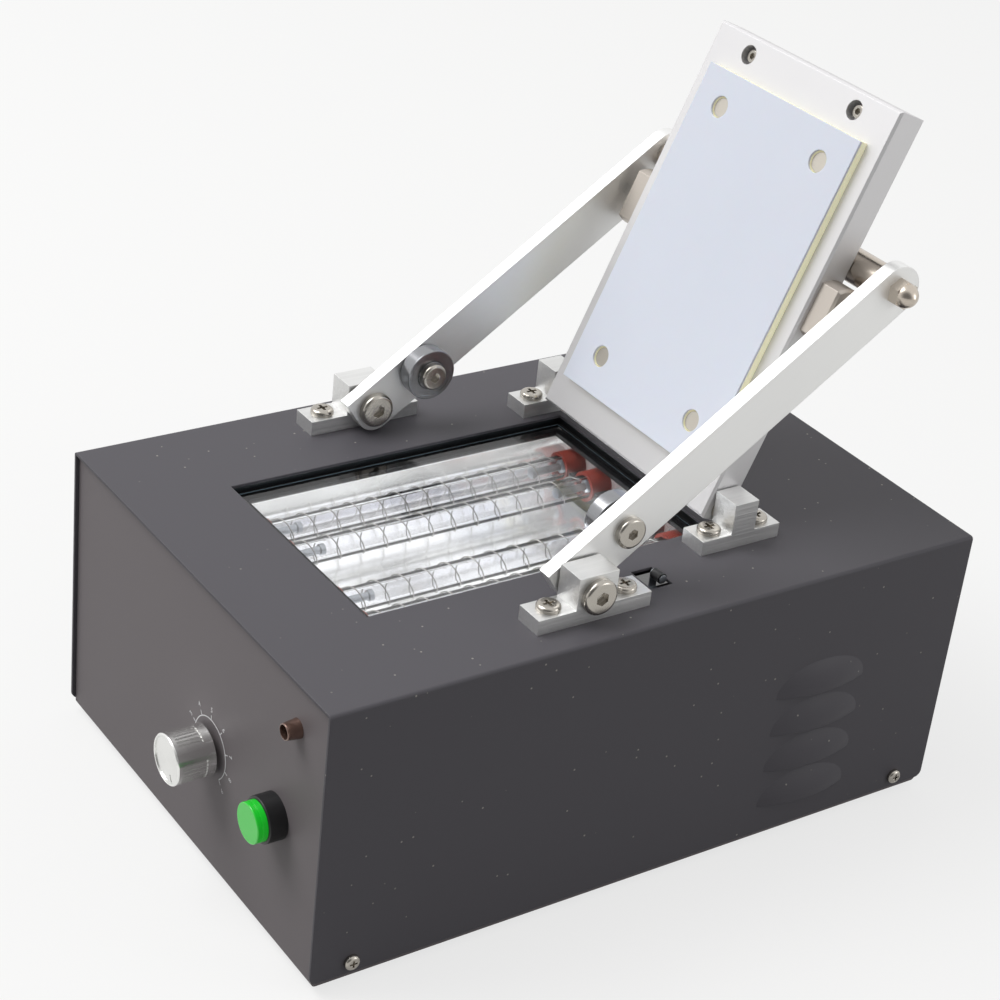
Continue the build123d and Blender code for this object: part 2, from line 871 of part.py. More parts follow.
with BuildPart() as trigger_wire:
    with BuildLine() as wire_path:
        Line(Vector(run_in.X, cap_face_front, run_in.Z), run_in)
        TangentArc(run_in, helix_start, tangent=(0, 1, 0))
        for quarter in range(quarter_turns):
            biarc(
                helix_point(quarter / 4),
                helix_heading(quarter / 4),
                helix_point((quarter + 1) / 4),
                helix_heading((quarter + 1) / 4),
            )
        TangentArc(helix_end, run_out, tangent=helix_heading(wire_loops))
        Line(run_out, Vector(run_out.X, cap_face_rear, run_out.Z))
    with BuildSketch(Plane(origin=wire_path.line @ 0, z_dir=(0, 1, 0))):
        Circle(wire_diameter / 2)
    sweep(path=wire_path.line)

with BuildPart() as trigger_wires:
    with Locations(*[(x, helix_front, tube_z) for x in tube_spots]):
        add(trigger_wire.part)

trigger_wires.part.label = "trigger_wires"
export_step(trigger_wires.part, "parts/trigger_wires.step")

# Least gaps of a trigger wire to itself, on points half a turn or more apart, and to its tube
wire_points = []
for edge in wire_path.line.edges():
    for share in (0, 0.25, 0.5, 0.75):
        wire_points.append(edge @ share)
half_turn_points = 16
wire_gaps = []
for first in range(len(wire_points)):
    for second in range(first + half_turn_points, len(wire_points)):
        wire_gaps.append((wire_points[first] - wire_points[second]).length - wire_diameter)
tube_gap = min(math.hypot(point.X, point.Z) for point in wire_points) - tube_radius - wire_diameter / 2
print(f"trigger wire: least gap to itself {min(wire_gaps):.2f} mm, to its tube {tube_gap:.3f} mm")

# Main board on its standoffs, with the storage capacitors and the trigger transformer
board_bottom = tray_floor + board_height
board_top = board_bottom + board_thickness

with BuildPart() as main_board:
    with BuildSketch(Plane.XY.offset(board_bottom)):
        with Locations((0, cover_front + board_middle)):
            Rectangle(board_width, board_length)
        with Locations(*standoff_spots):
            Circle(standoff_bore / 2, mode=Mode.SUBTRACT)
    extrude(amount=board_thickness)

main_board.part.label = "main_board"
export_step(main_board.part, "parts/main_board.step")

with BuildPart() as board_standoffs:
    with BuildSketch(Plane.XY.offset(tray_floor)):
        with Locations(*standoff_spots):
            RegularPolygon(standoff_flats / 2, 6, major_radius=False)
            Circle(standoff_bore / 2, mode=Mode.SUBTRACT)
    extrude(amount=board_height)

board_standoffs.part.label = "board_standoffs"
export_step(board_standoffs.part, "parts/board_standoffs.step")

with BuildPart() as storage_capacitors:
    with BuildSketch(Plane.XY.offset(board_top)):
        with Locations((0, cover_front + capacitor_row)):
            with GridLocations(capacitor_pitch, 0, capacitor_count, 1):
                Circle(capacitor_diameter / 2)
    extrude(amount=capacitor_height)
    rims = storage_capacitors.edges().group_by(Axis.Z)[-1]
    fillet(rims, radius=capacitor_rim)

storage_capacitors.part.label = "storage_capacitors"
export_step(storage_capacitors.part, "parts/storage_capacitors.step")

with BuildPart() as trigger_transformer:
    with BuildSketch(Plane.XY.offset(board_top)):
        with Locations((transformer_across, cover_front + transformer_depth)):
            Rectangle(transformer_width, transformer_core_length)
    extrude(amount=transformer_height)
    with BuildSketch(Plane.XY.offset(board_top + transformer_winding_inset)):
        with Locations((transformer_across, cover_front + transformer_depth)):
            RectangleRounded(
                transformer_width - 2 * transformer_winding_inset,
                transformer_length,
                transformer_winding_inset,
            )
    extrude(amount=transformer_height - 2 * transformer_winding_inset)

trigger_transformer.part.label = "trigger_transformer"
export_step(trigger_transformer.part, "parts/trigger_transformer.step")

# Energy dial: potentiometer behind the front panel, its shaft and the knob
knob_place = (knob_across, cover_bottom + knob_up)
knob_base = panel_front - knob_gap
shaft_end = knob_length - knob_face_wall
half_group = (knob_group_grooves - 1) / 2 * knob_groove_pitch
first_groove = knob_land_angle + 180 / knob_land_count - half_group

with BuildPart() as potentiometer:
    with BuildSketch(front_plane(panel_back)):
        with Locations(knob_place):
            Circle(pot_diameter / 2)
    extrude(amount=-pot_depth)
    with BuildSketch(front_plane(panel_back)):
        with Locations(knob_place):
            Circle(bushing_diameter / 2)
    extrude(amount=bushing_length)
    with BuildSketch(front_plane(panel_back - bushing_length)):
        with Locations(knob_place):
            Circle(shaft_diameter / 2 + running_fit)
    extrude(amount=-(bushing_length + pot_shaft_depth + side_play), mode=Mode.SUBTRACT)

potentiometer.part.label = "potentiometer"
export_step(potentiometer.part, "parts/potentiometer.step")

with BuildPart() as knob_shaft:
    with BuildSketch(front_plane(panel_back + pot_shaft_depth)):
        with Locations(knob_place):
            Circle(shaft_diameter / 2)
    extrude(amount=pot_shaft_depth + tray_sheet + knob_gap + shaft_end)

knob_shaft.part.label = "knob_shaft"
export_step(knob_shaft.part, "parts/knob_shaft.step")

with BuildPart() as energy_knob:
    with BuildSketch(front_plane(knob_base)):
        with Locations(knob_place):
            Circle(knob_diameter / 2)
    extrude(amount=knob_length)
    fillet(energy_knob.edges().sort_by(Axis.Y)[0], radius=knob_rim)
    with BuildSketch(front_plane(knob_base - knob_length)):
        with Locations(knob_place):
            Circle(knob_diameter / 2 - knob_rim - knob_groove)
    extrude(amount=-knob_face_recess, mode=Mode.SUBTRACT)
    with BuildSketch(front_plane(knob_base - knob_skirt)):
        with Locations(knob_place):
            for groove in range(knob_group_grooves):
                angle = first_groove + groove * knob_groove_pitch
                with PolarLocations(knob_diameter / 2, knob_land_count, start_angle=angle):
                    Circle(knob_groove)
    extrude(amount=knob_length - knob_skirt - knob_collar, mode=Mode.SUBTRACT)
    with BuildSketch(front_plane(knob_base - knob_length + knob_face_recess)):
        with Locations(knob_place):
            with PolarLocations(pointer_middle, 1, start_angle=pointer_angle):
                Rectangle(pointer_length, pointer_width)
    extrude(amount=-pointer_depth, mode=Mode.SUBTRACT)
    with BuildSketch(front_plane(knob_base)):
        with Locations(knob_place):
            Circle(knob_hollow_diameter / 2)
    extrude(amount=knob_hollow_depth, mode=Mode.SUBTRACT)
    with BuildSketch(front_plane(knob_base)):
        with Locations(knob_place):
            Circle(shaft_diameter / 2 + still_fit)
    extrude(amount=shaft_end + still_fit, mode=Mode.SUBTRACT)

energy_knob.part.label = "energy_knob"
export_step(energy_knob.part, "parts/energy_knob.step")

# Flash button: black housing through the panel, its green cap slides in it
button_place = (button_across, cover_bottom + button_up)
button_rim = panel_front - button_bezel_height
cap_radius = button_bezel_diameter / 2 - button_wall - running_fit

with BuildPart() as button_housing:
    with BuildSketch(front_plane(panel_front)):
        with Locations(button_place):
            Circle(button_bezel_diameter / 2)
    extrude(amount=button_bezel_height)
    fillet(button_housing.edges().sort_by(Axis.Y)[0], radius=button_rim_round)
    with BuildSketch(front_plane(panel_front)):
        with Locations(button_place):
            Circle(button_barrel / 2)
    extrude(amount=-button_barrel_length)
    with BuildSketch(front_plane(button_rim)):
        with Locations(button_place):
            Circle(cap_radius + running_fit)
    extrude(amount=-(button_bezel_height - button_floor), mode=Mode.SUBTRACT)
    with BuildSketch(front_plane(panel_front)):
        with Locations(button_place):
            Circle(button_stem_diameter / 2 + running_fit)
    extrude(amount=button_floor, mode=Mode.SUBTRACT)
    with BuildSketch(front_plane(panel_front)):
        with Locations(button_place):
            Circle(button_stem_diameter / 2 + running_fit)
    extrude(amount=-(button_stem_length + side_play), mode=Mode.SUBTRACT)

button_housing.part.label = "button_housing"
export_step(button_housing.part, "parts/button_housing.step")

cap_inside = button_bezel_height - button_floor - button_travel - side_play
cap_front = button_rim - button_cap_stand

with BuildPart() as flash_button:
    with BuildSketch(front_plane(button_rim + cap_inside)):
        with Locations(button_place):
            Circle(cap_radius)
    extrude(amount=cap_inside + button_cap_stand)
    fillet(flash_button.edges().sort_by(Axis.Y)[0], radius=button_cap_round)
    with BuildSketch(front_plane(cap_front + button_groove_back)):
        with Locations(button_place):
            Circle(cap_radius)
            Circle(cap_radius - button_cap_groove, mode=Mode.SUBTRACT)
    extrude(amount=button_cap_groove, mode=Mode.SUBTRACT)
    with BuildSketch(front_plane(button_rim + cap_inside)):
        with Locations(button_place):
            Circle(button_stem_diameter / 2)
    extrude(amount=-(button_stem_length - button_travel + button_bezel_height - cap_inside))

flash_button.part.label = "flash_button"
export_step(flash_button.part, "parts/flash_button.step")

# Indicator lamp: a smoked bezel with a small round lamp down its bore
lamp_place = (lamp_across, cover_bottom + lamp_up)

with BuildPart() as lamp_bezel:
    with BuildSketch(front_plane(panel_front)):
        with Locations(lamp_place):
            Circle(lamp_diameter / 2)
    extrude(amount=lamp_stand, taper=lamp_taper)
    fillet(lamp_bezel.edges().sort_by(Axis.Y)[0], radius=lamp_round)
    with BuildSketch(front_plane(panel_front)):
        with Locations(lamp_place):
            Circle(lamp_neck / 2)
    extrude(amount=-lamp_barrel_length)
    with BuildSketch(front_plane(panel_front - lamp_stand)):
        with Locations(lamp_place):
            Circle(lamp_bore / 2)
    extrude(amount=-lamp_bore_depth, mode=Mode.SUBTRACT)

lamp_bezel.part.label = "lamp_bezel"
export_step(lamp_bezel.part, "parts/lamp_bezel.step")

with BuildPart() as lamp_led:
    with BuildSketch(front_plane(panel_front - lamp_stand + lamp_bore_depth)):
        with Locations(lamp_place):
            Circle(led_diameter / 2)
    extrude(amount=led_height)
    fillet(lamp_led.edges().sort_by(Axis.Y)[0], radius=led_dome_round)

lamp_led.part.label = "lamp_led"
export_step(lamp_led.part, "parts/lamp_led.step")

# Nuts of the three controls: the dial's in front of the panel, the others behind it
with BuildPart() as panel_nuts:
    with BuildSketch(front_plane(panel_front)):
        with Locations(knob_place):
            RegularPolygon(nut_flats / 2, 6, major_radius=False)
            Circle(bushing_diameter / 2 + still_fit, mode=Mode.SUBTRACT)
    extrude(amount=nut_thickness)
    with BuildSketch(front_plane(panel_back)):
        with Locations(button_place):
            Circle(button_nut_diameter / 2)
            Circle(button_barrel / 2 + still_fit, mode=Mode.SUBTRACT)
    extrude(amount=-button_nut_thickness)
    with BuildSketch(front_plane(panel_back)):
        with Locations(lamp_place):
            RegularPolygon(nut_flats / 2, 6, major_radius=False)
            Circle(lamp_neck / 2 + still_fit, mode=Mode.SUBTRACT)
    extrude(amount=-nut_thickness)

panel_nuts.part.label = "panel_nuts"
export_step(panel_nuts.part, "parts/panel_nuts.step")

# Mains inlet in the rear panel: flange and body, and its three pins
inlet_place = (inlet_across, cover_bottom + inlet_up)
inlet_face = rear_face + inlet_flange

with BuildPart() as mains_inlet:
    with BuildSketch(front_plane(rear_face)):
        with Locations(inlet_place):
            RectangleRounded(inlet_width, inlet_height, inlet_corner)
    extrude(amount=-inlet_flange)
    with BuildSketch(front_plane(rear_face)):
        with Locations(inlet_place):
            Rectangle(inlet_body_width, inlet_body_height)
    extrude(amount=inlet_body_depth)
    with BuildSketch(front_plane(inlet_face)):
        with Locations(inlet_place):
            RectangleRounded(inlet_cavity_width, inlet_cavity_height, inlet_corner)
    extrude(amount=inlet_cavity_depth, mode=Mode.SUBTRACT)
    with BuildSketch(front_plane(inlet_face - inlet_cavity_depth)):
        with Locations(
            (inlet_across - inlet_pin_spacing / 2, inlet_place[1] - inlet_pin_offset),
            (inlet_across, inlet_place[1] + inlet_pin_offset),
            (inlet_across + inlet_pin_spacing / 2, inlet_place[1] - inlet_pin_offset),
        ):
            Rectangle(inlet_pin_thickness, inlet_pin_width)
    extrude(amount=-inlet_pin_length)

mains_inlet.part.label = "mains_inlet"
export_step(mains_inlet.part, "parts/mains_inlet.step")

# Power rocker in its frame; it tilts about an upright pin
rocker_place = (rocker_across, cover_bottom + rocker_up)
rocker_face = rear_face + rocker_frame_flange
rocker_axis = rocker_face - rocker_pivot_depth
rocker_half = rocker_body_width / 2 - rocker_wall - rocker_gap
rocker_tall = rocker_body_height / 2 - rocker_cheek

with BuildPart() as power_switch_frame:
    with BuildSketch(front_plane(rear_face)):
        with Locations(rocker_place):
            RectangleRounded(rocker_width, rocker_height, rocker_corner)
    extrude(amount=-rocker_frame_flange)
    with BuildSketch(front_plane(rear_face)):
        with Locations(rocker_place):
            Rectangle(rocker_body_width, rocker_body_height)
    extrude(amount=rocker_body_depth)
    with BuildSketch(front_plane(rocker_face)):
        with Locations(rocker_place):
            Rectangle(rocker_body_width - 2 * rocker_wall, 2 * rocker_tall)
    extrude(amount=rocker_cavity_depth, mode=Mode.SUBTRACT)
    with BuildSketch(Plane.XY.offset(rocker_place[1])):
        with Locations((rocker_across, rocker_axis)):
            Circle(rocker_pin_diameter / 2 + running_fit)
    extrude(amount=rocker_tall + rocker_pin_length + side_play, both=True, mode=Mode.SUBTRACT)

power_switch_frame.part.label = "power_switch_frame"
export_step(power_switch_frame.part, "parts/power_switch_frame.step")

rocker_valley = rocker_pivot_depth
rocker_peak = rocker_valley + rocker_half * math.tan(math.radians(rocker_tilt))
rocker_plane = Plane(origin=(rocker_across, rocker_axis, rocker_place[1]), z_dir=(0, 0, 1)).rotated(
    (0, 0, rocker_tilt)
)

with BuildPart() as power_rocker:
    with BuildSketch(rocker_plane):
        Polygon(
            (-rocker_half, rocker_peak),
            (-rocker_root_half, -rocker_root),
            (rocker_root_half, -rocker_root),
            (rocker_half, rocker_peak),
            (0, rocker_valley),
            align=None,
        )
    extrude(amount=rocker_tall - side_play, both=True)
    with BuildSketch(rocker_plane):
        Circle(rocker_pin_diameter / 2)
    extrude(amount=rocker_tall + rocker_pin_length, both=True)

power_rocker.part.label = "power_rocker"
export_step(power_rocker.part, "parts/power_rocker.step")

fuse_place = (fuse_across, cover_bottom + fuse_up)

with BuildPart() as fuse_holder:
    with BuildSketch(front_plane(rear_face)):
        with Locations(fuse_place):
            Circle(fuse_flange_diameter / 2)
    extrude(amount=-fuse_flange)
    with BuildSketch(front_plane(rear_face)):
        with Locations(fuse_place):
            Circle(fuse_cap_diameter / 2)
    extrude(amount=-fuse_cap_stand)
    fillet(fuse_holder.edges().sort_by(Axis.Y)[-1], radius=fuse_cap_round)
    with BuildSketch(front_plane(rear_face)):
        with Locations(fuse_place):
            Circle(fuse_diameter / 2)
    extrude(amount=fuse_body_length)
    with BuildSketch(front_plane(rear_face + fuse_cap_stand)):
        with Locations(fuse_place):
            Rectangle(fuse_slot_length, fuse_slot_width)
    extrude(amount=fuse_slot_width, mode=Mode.SUBTRACT)

fuse_holder.part.label = "fuse_holder"
export_step(fuse_holder.part, "parts/fuse_holder.step")

# Safety switch under the cover: its bracket, its body with two ears, its lever and its roller
switch_top = cover_under - switch_body_drop
switch_rear = cover_front + switch_body_rear
switch_inner = switch_across - switch_body_width / 2
lever_y = cover_front + lever_pivot_depth
lever_z = cover_under - lever_pivot_drop
roller_axis_y = cover_front + switch_roller_depth
roller_axis_z = cover_top + switch_roller_rise
cheek_inner = switch_roller_inner - side_play - lever_cheek_thickness
strip_middle = cheek_inner + lever_strip_width / 2
ear_inner = lever_strip_width / 2 + side_play

with BuildPart() as switch_bracket:
    with BuildSketch(side_plane(switch_inner)):
        with Locations((switch_rear, switch_top)):
            Rectangle(switch_body_length, switch_body_height, align=(Align.MAX, Align.MAX))
        with Locations((switch_rear - switch_body_length, switch_top)):
            Rectangle(
                switch_bracket_length, cover_under - switch_top, align=(Align.MIN, Align.MIN)
            )
    extrude(amount=-switch_bracket_sheet)
    with BuildSketch(Plane.XY.offset(cover_under)):
        with Locations((switch_inner, switch_rear - switch_body_length)):
            Rectangle(switch_bracket_flange, switch_bracket_length, align=(Align.MAX, Align.MIN))
    extrude(amount=-switch_bracket_sheet)

switch_bracket.part.label = "switch_bracket"
export_step(switch_bracket.part, "parts/switch_bracket.step")

with BuildPart() as switch_body:
    with BuildSketch(Plane.XY.offset(switch_top)):
        with Locations((switch_across, switch_rear)):
            Rectangle(switch_body_width, switch_body_length, align=(Align.CENTER, Align.MAX))
    extrude(amount=-switch_body_height)
    for way in (-1, 1):
        with BuildSketch(side_plane(strip_middle + way * ear_inner)):
            with Locations((lever_y, switch_top)):
                Rectangle(
                    2 * lever_hinge_diameter,
                    lever_z - switch_top + lever_hinge_diameter,
                    align=(Align.CENTER, Align.MIN),
                )
        extrude(amount=way * ear_thickness)
    with BuildSketch(side_plane(strip_middle)):
        with Locations((lever_y, lever_z)):
            Circle(lever_hinge_diameter / 2 + running_fit)
    extrude(amount=ear_inner + ear_thickness, both=True, mode=Mode.SUBTRACT)

switch_body.part.label = "switch_body"
export_step(switch_body.part, "parts/switch_body.step")

with BuildPart() as switch_lever:
    with BuildSketch(side_plane(cheek_inner)):
        with Locations((lever_y, lever_z)):
            Rectangle(
                roller_axis_y + switch_pin_head / 2 - lever_y,
                lever_strip_thickness,
                align=(Align.MIN, Align.CENTER),
            )
    extrude(amount=lever_strip_width)
    with BuildSketch(side_plane(cheek_inner)):
        with Locations((roller_axis_y, lever_z)):
            Rectangle(switch_pin_head, roller_axis_z - lever_z, align=(Align.CENTER, Align.MIN))
        with Locations((roller_axis_y, roller_axis_z)):
            Circle(switch_pin_head / 2)
    extrude(amount=lever_cheek_thickness)
    with BuildSketch(side_plane(cheek_inner)):
        with Locations((roller_axis_y, roller_axis_z)):
            Circle(switch_pin_diameter / 2)
    extrude(amount=lever_cheek_thickness + switch_roller_length + 2 * side_play)
    with BuildSketch(side_plane(switch_roller_inner + switch_roller_length + side_play)):
        with Locations((roller_axis_y, roller_axis_z)):
            Circle(switch_pin_head / 2)
    extrude(amount=switch_pin_head_thickness)
    with BuildSketch(side_plane(strip_middle)):
        with Locations((lever_y, lever_z)):
            Circle(lever_hinge_diameter / 2)
    extrude(amount=ear_inner + ear_thickness, both=True)

switch_lever.part.label = "switch_lever"
export_step(switch_lever.part, "parts/switch_lever.step")

with BuildPart() as switch_roller:
    with BuildSketch(side_plane(switch_roller_inner)):
        with Locations((roller_axis_y, roller_axis_z)):
            Circle(switch_roller_diameter / 2)
            Circle(switch_pin_diameter / 2 + running_fit, mode=Mode.SUBTRACT)
    extrude(amount=switch_roller_length)

switch_roller.part.label = "switch_roller"
export_step(switch_roller.part, "parts/switch_roller.step")

# Brackets on the cover: the front pair carries the lever arms, the rear pair the press plate
foot_top = cover_top + bracket_foot_height
front_bracket_outer = front_bracket_inner + bracket_width

for side, hand in SIDES:
    with BuildPart() as front_bracket:
        with BuildSketch(side_plane(side * front_bracket_inner)):
            with Locations((cover_front + front_foot_middle, cover_top)):
                Rectangle(front_foot_length, bracket_foot_height, align=(Align.CENTER, Align.MIN))
            with Locations((pivot_y, cover_top)):
                Rectangle(front_upright_width, front_upright_height, align=(Align.CENTER, Align.MIN))
            with Locations((pivot_y, pivot_z)):
                Circle(pivot_diameter / 2 + still_fit, mode=Mode.SUBTRACT)
        extrude(amount=side * bracket_width)
        with BuildSketch(Plane.XY.offset(foot_top)):
            with Locations(*bracket_screw_spots):
                Circle(foot_screw_diameter / 2 + still_fit)
        extrude(amount=-bracket_foot_height, mode=Mode.SUBTRACT)

    front_bracket.part.label = f"front_bracket_{hand}"
    export_step(front_bracket.part, f"parts/front_bracket_{hand}.step")

for side, hand in SIDES:
    with BuildPart() as rear_bracket:
        with BuildSketch(side_plane(side * rear_bracket_inner)):
            with Locations((cover_front + rear_foot_middle, cover_top)):
                Rectangle(rear_foot_length, bracket_foot_height, align=(Align.CENTER, Align.MIN))
            with Locations((cover_front + rear_upright_middle, cover_top)):
                Rectangle(rear_upright_width, rear_upright_height, align=(Align.CENTER, Align.MIN))
        extrude(amount=side * bracket_width)
        with BuildSketch(side_plane(side * rear_bracket_inner)):
            with Locations((hinge_y, hinge_z)):
                Circle(hinge_pin_diameter / 2 + running_fit)
        extrude(amount=side * (hinge_pin_in_bracket + side_play), mode=Mode.SUBTRACT)
        with BuildSketch(Plane.XY.offset(foot_top)):
            with Locations(*bracket_screw_spots):
                Circle(foot_screw_diameter / 2 + still_fit)
        extrude(amount=-bracket_foot_height, mode=Mode.SUBTRACT)

    rear_bracket.part.label = f"rear_bracket_{hand}"
    export_step(rear_bracket.part, f"parts/rear_bracket_{hand}.step")

with BuildPart() as bracket_screws:
    with Locations(*[(x, y, foot_top) for x, y in bracket_screw_spots]):
        add(foot_screw)

bracket_screws.part.label = "bracket_screws"
export_step(bracket_screws.part, "parts/bracket_screws.step")

# Pivots of the lever arms: a bolt from the outside, and an end screw in it from the inside
pivot_end = arm_inner - side_play
arm_outer = arm_inner + arm_thickness
end_screw = socket_screw(
    end_screw_diameter, pivot_head, pivot_head_height, end_screw_depth, pivot_socket, head_dome
)

with BuildPart() as pivot_bolts:
    for side, hand in SIDES:
        with Locations(Location((side * front_bracket_outer, pivot_y, pivot_z), (0, side * 90, 0))):
            add(
                socket_screw(
                    pivot_diameter,
                    pivot_head,
                    pivot_head_height,
                    front_bracket_outer - pivot_end,
                    pivot_socket,
                    head_dome,
                )
            )
        with BuildSketch(side_plane(side * pivot_end)):
            with Locations((pivot_y, pivot_z)):
                Circle(end_screw_diameter / 2 + still_fit)
        extrude(amount=side * (end_screw_depth + still_fit), mode=Mode.SUBTRACT)

pivot_bolts.part.label = "pivot_bolts"
export_step(pivot_bolts.part, "parts/pivot_bolts.step")

with BuildPart() as pivot_end_screws:
    for side, hand in SIDES:
        with Locations(Location((side * pivot_end, pivot_y, pivot_z), (0, -side * 90, 0))):
            add(end_screw)

pivot_end_screws.part.label = "pivot_end_screws"
export_step(pivot_end_screws.part, "parts/pivot_end_screws.step")

# Thin washers that keep the arms off the front brackets and the plate off the rear ones
with BuildPart() as spacer_washers:
    for side, hand in SIDES:
        with BuildSketch(side_plane(side * front_bracket_inner)):
            with Locations((pivot_y, pivot_z)):
                Circle(pivot_washer_diameter / 2)
                Circle(pivot_diameter / 2 + still_fit, mode=Mode.SUBTRACT)
        extrude(amount=-side * (front_bracket_inner - arm_outer - side_play))
        with BuildSketch(side_plane(side * rear_bracket_inner)):
            with Locations((hinge_y, hinge_z)):
                Circle(hinge_washer_diameter / 2)
                Circle(hinge_pin_diameter / 2 + running_fit, mode=Mode.SUBTRACT)
        extrude(amount=-side * (rear_bracket_inner - half_plate - side_play))

spacer_washers.part.label = "spacer_washers"
export_step(spacer_washers.part, "parts/spacer_washers.step")

# Lever arms: flat bars, square at the upper heel and round about the cross rod
for side, hand in SIDES:
    with BuildPart() as lever_arm:
        with BuildSketch(arm_plane(side * arm_inner)):
            with Locations(((arm_reach - arm_heel) / 2, 0)):
                Rectangle(arm_reach + arm_heel, arm_width)
            with Locations((arm_reach, 0)):
                Circle(arm_width / 2)
            with Locations((0, 0)):
                Circle(pivot_diameter / 2 + running_fit, mode=Mode.SUBTRACT)
            with Locations((roller_radius_on_arm, 0)):
                Circle(bearing_bore / 2 + still_fit, mode=Mode.SUBTRACT)
            with Locations((arm_reach, 0)):
                Circle(stud_diameter / 2 + still_fit, mode=Mode.SUBTRACT)
        extrude(amount=side * arm_thickness)
        fillet(lever_arm.edges().filter_by(Axis.X).sort_by(Axis.Z)[0], radius=arm_heel_round)

    lever_arm.part.label = f"lever_arm_{hand}"
    export_step(lever_arm.part, f"parts/lever_arm_{hand}.step")

roller_place = arm_plane(0).from_local_coords((roller_radius_on_arm, 0, 0))

with BuildPart() as cross_rod:
    with BuildSketch(side_plane(0)):
        with Locations((rod_y, rod_z)):
            Circle(rod_diameter / 2)
    extrude(amount=arm_inner, both=True)
    chamfer(cross_rod.edges().filter_by(GeomType.CIRCLE), length=rod_chamfer)
    with BuildSketch(side_plane(0)):
        with Locations((rod_y, rod_z)):
            Circle(stud_diameter / 2)
    extrude(amount=arm_outer + stud_length, both=True)

cross_rod.part.label = "cross_rod"
export_step(cross_rod.part, "parts/cross_rod.step")

acorn_dome = acorn_length - acorn_hex_length

with BuildPart() as acorn_nut:
    with BuildSketch():
        RegularPolygon(acorn_flats / 2, 6, major_radius=False)
    extrude(amount=acorn_hex_length)
    with BuildSketch(Plane.XZ):
        with BuildLine():
            Polyline((0, acorn_length), (0, 0), (acorn_flats / 2, 0), (acorn_flats / 2, acorn_hex_length))
            RadiusArc(
                (acorn_flats / 2, acorn_hex_length), (0, acorn_length), -(acorn_dome + acorn_crown)
            )
        make_face()
    revolve(axis=Axis.Z)
    with BuildSketch():
        Circle(stud_diameter / 2 + still_fit)
    extrude(amount=stud_length + still_fit, mode=Mode.SUBTRACT)

with BuildPart() as acorn_nuts:
    for side, hand in SIDES:
        with Locations(Location((side * arm_outer, rod_y, rod_z), (0, side * 90, 0))):
            add(acorn_nut.part)

acorn_nuts.part.label = "acorn_nuts"
export_step(acorn_nuts.part, "parts/acorn_nuts.step")

# Ball bearings that serve as rollers, made once about Z and set on the arms
bearing_inner_face = arm_inner - bearing_spacer - bearing_width
groove_radius = bearing_ball / 2 + ball_play
half_bearing = bearing_width / 2

with BuildPart() as outer_ring:
    with BuildSketch(Plane.XZ):
        with Locations((bearing_outer_land / 2, 0)):
            Rectangle(
                (bearing_outer - bearing_outer_land) / 2, bearing_width, align=(Align.MIN, Align.CENTER)
            )
        for way in (-1, 1):
            with Locations((bearing_inner_land / 2 + shield_gap, way * (half_bearing - bearing_shield_inset))):
                Rectangle(
                    (bearing_outer_land - bearing_inner_land) / 2,
                    bearing_shield,
                    align=(Align.MIN, Align.MAX if way > 0 else Align.MIN),
                )
        with Locations((bearing_pitch_diameter / 2, 0)):
            Circle(groove_radius, mode=Mode.SUBTRACT)
    revolve(axis=Axis.Z)
    rims = outer_ring.edges().filter_by(GeomType.CIRCLE).filter_by(
        lambda edge: edge.radius > bearing_outer / 2 - still_fit
    )
    fillet(rims, radius=bearing_round)

for side, hand in SIDES:
    with BuildPart() as roller_ring:
        middle = side * (bearing_inner_face + half_bearing)
        with Locations(Location((middle, roller_place.Y, roller_place.Z), (0, side * 90, 0))):
            add(outer_ring.part)

    roller_ring.part.label = f"roller_ring_{hand}"
    export_step(roller_ring.part, f"parts/roller_ring_{hand}.step")

with BuildPart() as inner_ring:
    with BuildSketch(Plane.XZ):
        with Locations((bearing_bore / 2 + still_fit, 0)):
            Rectangle(
                (bearing_inner_land - bearing_bore) / 2, bearing_width, align=(Align.MIN, Align.CENTER)
            )
        with Locations((bearing_bore / 2 + still_fit, half_bearing)):
            Rectangle(
                (bearing_inner_land - bearing_bore) / 2 - bearing_round,
                bearing_spacer,
                align=(Align.MIN, Align.MIN),
            )
        with Locations((bearing_pitch_diameter / 2, 0)):
            Circle(groove_radius, mode=Mode.SUBTRACT)
    revolve(axis=Axis.Z)

with BuildPart() as bearing_inner_rings:
    for side, hand in SIDES:
        middle = side * (bearing_inner_face + half_bearing)
        with Locations(Location((middle, roller_place.Y, roller_place.Z), (0, side * 90, 0))):
            add(inner_ring.part)

bearing_inner_rings.part.label = "bearing_inner_rings"
export_step(bearing_inner_rings.part, "parts/bearing_inner_rings.step")

with BuildPart() as ball_set:
    with PolarLocations(bearing_pitch_diameter / 2, bearing_ball_count):
        Sphere(bearing_ball / 2)

with BuildPart() as bearing_balls:
    for side, hand in SIDES:
        middle = side * (bearing_inner_face + half_bearing)
        with Locations(Location((middle, roller_place.Y, roller_place.Z), (0, side * 90, 0))):
            add(ball_set.part)

bearing_balls.part.label = "bearing_balls"
export_step(bearing_balls.part, "parts/bearing_balls.step")

# Roller axles: a bolt from the outside of each arm, and an end screw that holds the bearing
with BuildPart() as roller_axles:
    for side, hand in SIDES:
        with Locations(
            Location((side * arm_outer, roller_place.Y, roller_place.Z), (0, side * 90, 0))
        ):
            add(
                socket_screw(
                    bearing_bore,
                    roller_head,
                    roller_head_height,
                    arm_outer - bearing_inner_face,
                    roller_socket,
                    head_dome,
                )
            )
        with BuildSketch(side_plane(side * bearing_inner_face)):
            with Locations((roller_place.Y, roller_place.Z)):
                Circle(end_screw_diameter / 2 + still_fit)
        extrude(amount=side * (end_screw_depth + still_fit), mode=Mode.SUBTRACT)

roller_axles.part.label = "roller_axles"
export_step(roller_axles.part, "parts/roller_axles.step")

roller_end_screw = socket_screw(
    end_screw_diameter, roller_inner_head, roller_head_height, end_screw_depth, roller_socket, head_dome
)

